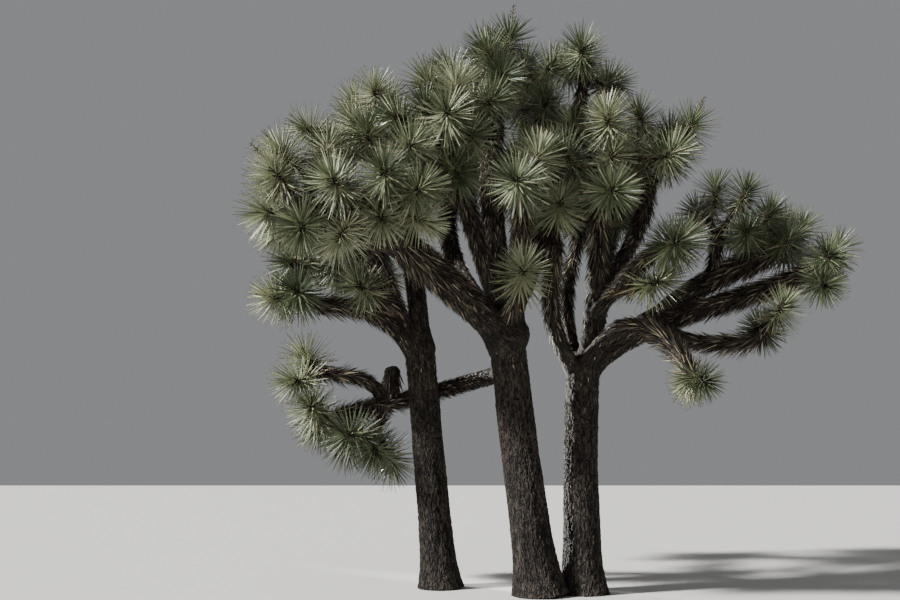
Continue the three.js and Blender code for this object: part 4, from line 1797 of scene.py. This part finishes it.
@dataclass
class DeadLeaves:
    """Dead leaves on a run: how far along it, from where and which way out of it each grows.

    Lift is the angle at which one stands off the wood, in radians. Fresh says how freshly dead
    one is, from 0, old and dark, to 1, straw-coloured; the dark tints of the old leaves are darkened further
    as painted shade.
    """

    run: Run
    reach: np.ndarray
    start: np.ndarray
    out: np.ndarray
    length: np.ndarray
    lift: np.ndarray
    fresh: np.ndarray


@dataclass
class Thatch:
    """Dead leaves that clothe the wood and point back down it, longest below the heads."""

    bough_coat: Coat = Coat(0.029, (0.045, 0.145), (0.6, 1.3), (8, 20), (-6, 12), (0.0, 0.35))
    twig_coat: Coat = Coat(0.03, (0.15, 0.08), (0.7, 1.2), (24, 40), (-10, 16), (0.4, 0.6))
    width: float = 0.0145
    width_spread: Row = (0.7, 1.15)
    step: float = 0.04
    neighbour_step: float = 0.05
    buried: float = -0.01
    stem_from: float = 0.74
    stem_full: float = 0.7
    stem_shag: float = 0.2
    bough_shag_end: float = 1.05
    skirt: Row = (0.4, 0.05)
    row_jitter: float = 0.4
    turn_jitter: float = 0.25
    swing: float = 0.16
    sag: float = 0.35
    sunk: float = 0.006
    tint: Row = (1.05, 1.3)
    tint_spread: float = 1.1
    seed: int = 97

    def build(self, growth: Growth) -> list[bpy.types.Object]:
        """Makes the thatch of the boughs and of the twigs, in pieces of a fit size.

        Args:
            growth: The lines of the plant.

        Returns:
            The pieces.
        """
        random = np.random.default_rng(self.seed)
        boughs, twigs = Blades(), Blades()
        for k, limb in enumerate(growth.limbs.values()):
            self.on_limb(limb, k, growth, boughs, random)
        for k, mass in enumerate(growth.masses):
            for twig in mass.twigs:
                self.on_twig(twig, k, twigs, random)
        made = foliage_pieces("bough_thatch", Foliage.DEAD, boughs, self.seed, [])
        return made + foliage_pieces("twig_thatch", Foliage.DEAD, twigs, self.seed, [])

    def on_limb(self, limb: Limb, owner: int, growth: Growth, blades: Blades,
                random: np.random.Generator) -> None:
        """Clothes a bough, or the top of a stem, in dead leaves.

        Args:
            limb: The limb.
            owner: Its place among the limbs.
            growth: The lines of the plant.
            blades: What the leaves are added to.
            random: The source of what is random.
        """
        is_stem = limb.name in STEMS
        run = limb.run(self.step, self.stem_from if is_stem else 0.0, 1.0)
        reach, angle = self.rows(run, self.bough_coat.spacing, random)
        share = reach / run.length
        if is_stem:
            shag = self.stem_shag * share
        else:
            shag = smoothstep(share, 0.0, self.bough_shag_end)
            run.radii = run.radii * (1 - Bark.hair * smoothstep(run.reach, 0, Bark.hair_from))
        start, out = run.around(reach, angle)
        leaves = DeadLeaves(run, reach, start, out, *self.bough_coat.leaves(shag, random))
        keep = self.is_outside(start, limb, growth)
        if is_stem:
            keep &= random.random(len(reach)) < smoothstep(share, 0.0, self.stem_full)
        self.lay(leaves, keep, owner, blades, random)

    def on_twig(self, twig: Twig, owner: int, blades: Blades, random: np.random.Generator) -> None:
        """Clothes a twig, with a skirt of long leaves where it ends in a head.

        Args:
            twig: The twig.
            owner: The place of its mass.
            blades: What the leaves are added to.
            random: The source of what is random.
        """
        run = twig.run()
        reach, angle = self.rows(run, self.twig_coat.spacing, random)
        start, out = run.around(reach, angle)
        skirt = smoothstep(run.length - reach, *self.skirt) if twig.head else np.zeros(len(reach))
        leaves = DeadLeaves(run, reach, start, out, *self.twig_coat.leaves(skirt, random))
        self.lay(leaves, np.ones(len(reach), bool), owner, blades, random)

    def rows(self, run: Run, spacing: float, random: np.random.Generator) -> tuple[np.ndarray, np.ndarray]:
        """Spaces leaves evenly over a run in the order in which they grew.

        Args:
            run: The run.
            spacing: The distance between neighbours.
            random: The source of what is random.

        Returns:
            Their distances along the run and their angles about it.
        """
        density = 2 * math.pi * run.radii / spacing**2
        between = (density[1:] + density[:-1]) / 2 * np.diff(run.reach)
        filled = np.concatenate([[0], np.cumsum(between)])
        count = max(1, int(filled[-1]))
        reach = np.interp(np.arange(count) + 0.5, filled, run.reach)
        shift = random.uniform(-self.row_jitter, self.row_jitter, count)
        turn = random.uniform(-self.turn_jitter, self.turn_jitter, count)
        angle = np.radians(np.arange(count) * GOLDEN_TURN) + turn
        return np.clip(reach + shift * spacing, 0, run.length), angle

    def is_outside(self, start: np.ndarray, limb: Limb, growth: Growth) -> np.ndarray:
        """Finds the places on a limb that aren't buried in another limb.

        Args:
            start: The places.
            limb: The limb that they are on.
            growth: The lines of the plant.

        Returns:
            Whether each is outside the others.
        """
        outside = np.ones(len(start), bool)
        for other in growth.limbs.values():
            if other is not limb and other.stem == limb.stem:
                run = other.run(self.neighbour_step)
                gap = np.linalg.norm(start[:, None] - run.points[None], axis=2) - run.radii
                outside &= gap.min(axis=1) > self.buried
        return outside

    def lay(self, leaves: DeadLeaves, keep: np.ndarray, owner: int, blades: Blades,
            random: np.random.Generator) -> None:
        """Lets leaves point back down the wood and hang a little, and adds them to the others.

        Args:
            leaves: The leaves.
            keep: Which of them are kept.
            owner: The place of their limb or mass.
            blades: What they are added to.
            random: The source of what is random.
        """
        count, out = len(leaves.reach), leaves.out
        down = -leaves.run.at(leaves.reach, leaves.run.along)
        swing = np.cross(out, down) * random.normal(0, self.swing, count)[:, None]
        direction = down * np.cos(leaves.lift)[:, None] + out * np.sin(leaves.lift)[:, None] + swing
        direction = unit(direction - UP * random.uniform(0.0, self.sag, count)[:, None])
        start = leaves.start - out * self.sunk
        width = self.width * random.uniform(*self.width_spread, count)
        # Old leaves, low on the wood and deep in the crown, get the dark tints, which hold painted shade.
        tint = random.normal(self.tint[0] + self.tint[1] * leaves.fresh, self.tint_spread)
        tint = np.clip(np.floor(tint).astype(int), 0, len(DEAD_TINTS) - 1)
        blades.add(owner, start[keep], direction[keep], -out[keep], width[keep],
                   leaves.length[keep], tint[keep])


@dataclass
class FlowerStalks:
    """The dry remains of flower stalks that stand out of some of the heads."""

    heads: tuple[tuple[str, int], ...] = (
        ("centre_top_rosettes", 1), ("left_leader_rosettes", 0), ("left_leader_rosettes", 2),
        ("far_left_rosettes", 0), ("top_right_rosettes", 1), ("right_slanting_rosettes", 1),
        ("centre_rear_rosettes", 2), ("right_rear_rosettes", 3),
    )
    height: float = 0.34
    lean: float = 0.05
    radius: float = 0.009
    taper: float = 0.5
    stations: int = 9
    sides: int = 6
    branches: int = 13
    branched: Row = (0.42, 0.56)
    branch_rise: Row = (0.5, 1.1)
    branch_length: Row = (0.03, 0.07)
    branch_fade: float = 1.3
    branch_scale: float = 1.6
    branch_radii: Row = (0.0045, 0.004, 0.0055, 0.003)
    branch_sides: int = 5
    askew: Row = (0.4, 0.2, 0.9)
    seed: int = 5

    def build(self, growth: Growth) -> bpy.types.Object:
        """Makes the stalks as one piece.

        Args:
            growth: The lines of the plant.

        Returns:
            The piece.
        """
        random = np.random.default_rng(self.seed)
        masses = {mass.name: mass for mass in growth.masses}
        parts = []
        for name, index in self.heads:
            parts += self.stalk(masses[name].heads[index], random)
        mesh = mesh_of("flower_stalks", *joined(parts))
        mesh.materials.append(STALK.material)
        return dressed(new_object("flower_stalks", mesh), [])

    def stalk(self, head: Head, random: np.random.Generator) -> list[Part]:
        """Makes one stalk with the stubs of its branches.

        Args:
            head: The head that it stands on.
            random: The source of what is random.

        Returns:
            The points and faces of its parts.
        """
        t = np.linspace(0, 1, self.stations)[:, None]
        lean = unit(random.normal(0, 1, 3)) * self.lean
        points = head.centre + head.direction * t * self.height + lean * t * t
        radii = np.linspace(self.radius, self.radius * self.taper, self.stations)
        parts = [tube(Run(points, radii), self.sides)]
        side = unit(np.cross(head.direction, self.askew))
        front = np.cross(head.direction, side)
        lowest, span = self.branched
        for k in range(self.branches):
            share = lowest + span * k / self.branches
            angle = math.radians(k * GOLDEN_TURN)
            out = side * math.cos(angle) + front * math.sin(angle)
            start = head.centre + head.direction * share * self.height + lean * share * share
            way = unit(out + head.direction * random.uniform(*self.branch_rise))
            length = random.uniform(*self.branch_length) * (self.branch_fade - share) * self.branch_scale
            stub = start + way * np.linspace(0, length, len(self.branch_radii))[:, None]
            parts.append(tube(Run(stub, np.array(self.branch_radii)), self.branch_sides))
        return parts


# The floor, the light and the camera

@dataclass
class Studio:
    """A plain pale floor, soft light and a camera at the photograph's viewing angle.

    The rim light stays narrow, and slimmer than it is high, so that it lights the stems alone.
    """

    camera_at: Row = (-0.918, -8.8, 1.25)
    pitch: float = 11.71
    focal_px: float = 820.0
    frame_px: float = 900.0
    sensor: float = 36.0
    farthest: float = 500.0
    floor_width: float = 120.0
    floor_gap: float = 0.002
    lit: Row = (-0.3, 0.4, 3.4)
    key_from: Row = (-9.4, -3.0, 10.4)
    key_softness: float = 5.0
    key_strength: float = 10.5
    rim_from: Row = (-10.4, 8.7, 1.9)
    rim_lit: Row = (-0.05, 0.37, 1.7)
    rim_cone: float = 19.0
    rim_slimness: float = 0.25
    rim_power: float = 80000.0
    rim_blend: float = 0.6
    rim_softness: float = 0.3
    fill_from: Row = (-4.0, -11.0, 6.0)
    fill_width: float = 8.0
    fill_power: float = 60.0
    surround: float = 0.3
    surround_colour: Row = (0.82, 0.84, 0.87, 1.0)

    def build(self) -> None:
        """Makes the floor, the lights, the pale surroundings and the camera."""
        self.floor()
        self.surroundings()
        self.key()
        self.rim()
        self.fill()
        self.camera()

    def floor(self) -> None:
        """Makes the floor, a hair under the cut of the stems."""
        half = self.floor_width / 2
        square = [(-half, -half), (half, -half), (half, half), (-half, half)]
        corners = np.array([(x, y, -self.floor_gap) for x, y in square])
        plane = new_object("floor", mesh_of("floor", corners, [(0, 1, 2, 3)]))
        plane.data.materials.append(FloorFinish().material)

    def surroundings(self) -> None:
        """Sets an even pale light all round."""
        world = bpy.data.worlds.new("pale_surroundings")
        world.use_nodes = True
        nodes = Nodes(world.node_tree)
        light = nodes.out("ShaderNodeBackground", {
            "Color": self.surround_colour, "Strength": self.surround,
        })
        nodes.add("ShaderNodeOutputWorld", {"Surface": light})
        bpy.context.scene.world = world

    def key(self) -> None:
        """Adds the even key light, from above on the left."""
        lamp = bpy.data.lights.new("key", "SUN")
        lamp.angle = math.radians(self.key_softness)
        lamp.energy = self.key_strength
        self.placed("key", lamp, self.key_from, self.lit)

    def rim(self) -> None:
        """Adds a low light from behind on the left, which catches the edges of the stems."""
        lamp = bpy.data.lights.new("rim", "SPOT")
        lamp.energy = self.rim_power
        lamp.spot_size = math.radians(self.rim_cone)
        lamp.spot_blend = self.rim_blend
        lamp.shadow_soft_size = self.rim_softness
        made = self.placed("rim", lamp, self.rim_from, self.rim_lit)
        made.scale = (self.rim_slimness, 1, 1)

    def fill(self) -> None:
        """Adds a wide weak light in front."""
        lamp = bpy.data.lights.new("fill", "AREA")
        lamp.size = self.fill_width
        lamp.energy = self.fill_power
        self.placed("fill", lamp, self.fill_from, self.lit)

    @staticmethod
    def placed(name: str, lamp: bpy.types.Light, at: Row, lit: Row) -> bpy.types.Object:
        """Puts a light where it shines at a point of the plant.

        Args:
            name: The name of its object.
            lamp: The light.
            at: Where it stands.
            lit: The point.

        Returns:
            The object of the light.
        """
        made = bpy.data.objects.new(name, lamp)
        made.location = at
        way = Vector((np.array(lit) - np.array(at)).tolist())
        made.rotation_euler = way.to_track_quat("-Z", "Y").to_euler()
        bpy.context.scene.collection.objects.link(made)
        return made

    def camera(self) -> None:
        """Places the camera where the photograph was taken from."""
        lens = bpy.data.cameras.new("camera")
        lens.sensor_width = self.sensor
        lens.lens = self.focal_px / self.frame_px * self.sensor
        lens.clip_end = self.farthest
        made = bpy.data.objects.new("camera", lens)
        made.location = self.camera_at
        made.rotation_euler = (math.radians(90 + self.pitch), 0, 0)
        bpy.context.scene.collection.objects.link(made)
        bpy.context.scene.camera = made


def main() -> None:
    """Builds the plant and its studio."""
    logging.basicConfig(level=logging.INFO, format="%(message)s")
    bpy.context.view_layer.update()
    growth = Growth()
    LOG.info("%d limbs, %d heads", len(growth.limbs), sum(len(mass.heads) for mass in growth.masses))
    Bark().build(growth)
    Twigs().build(growth)
    Heads().build(growth)
    Thatch().build(growth)
    FlowerStalks().build(growth)
    Studio().build()


if __name__ == "__main__":
    main()
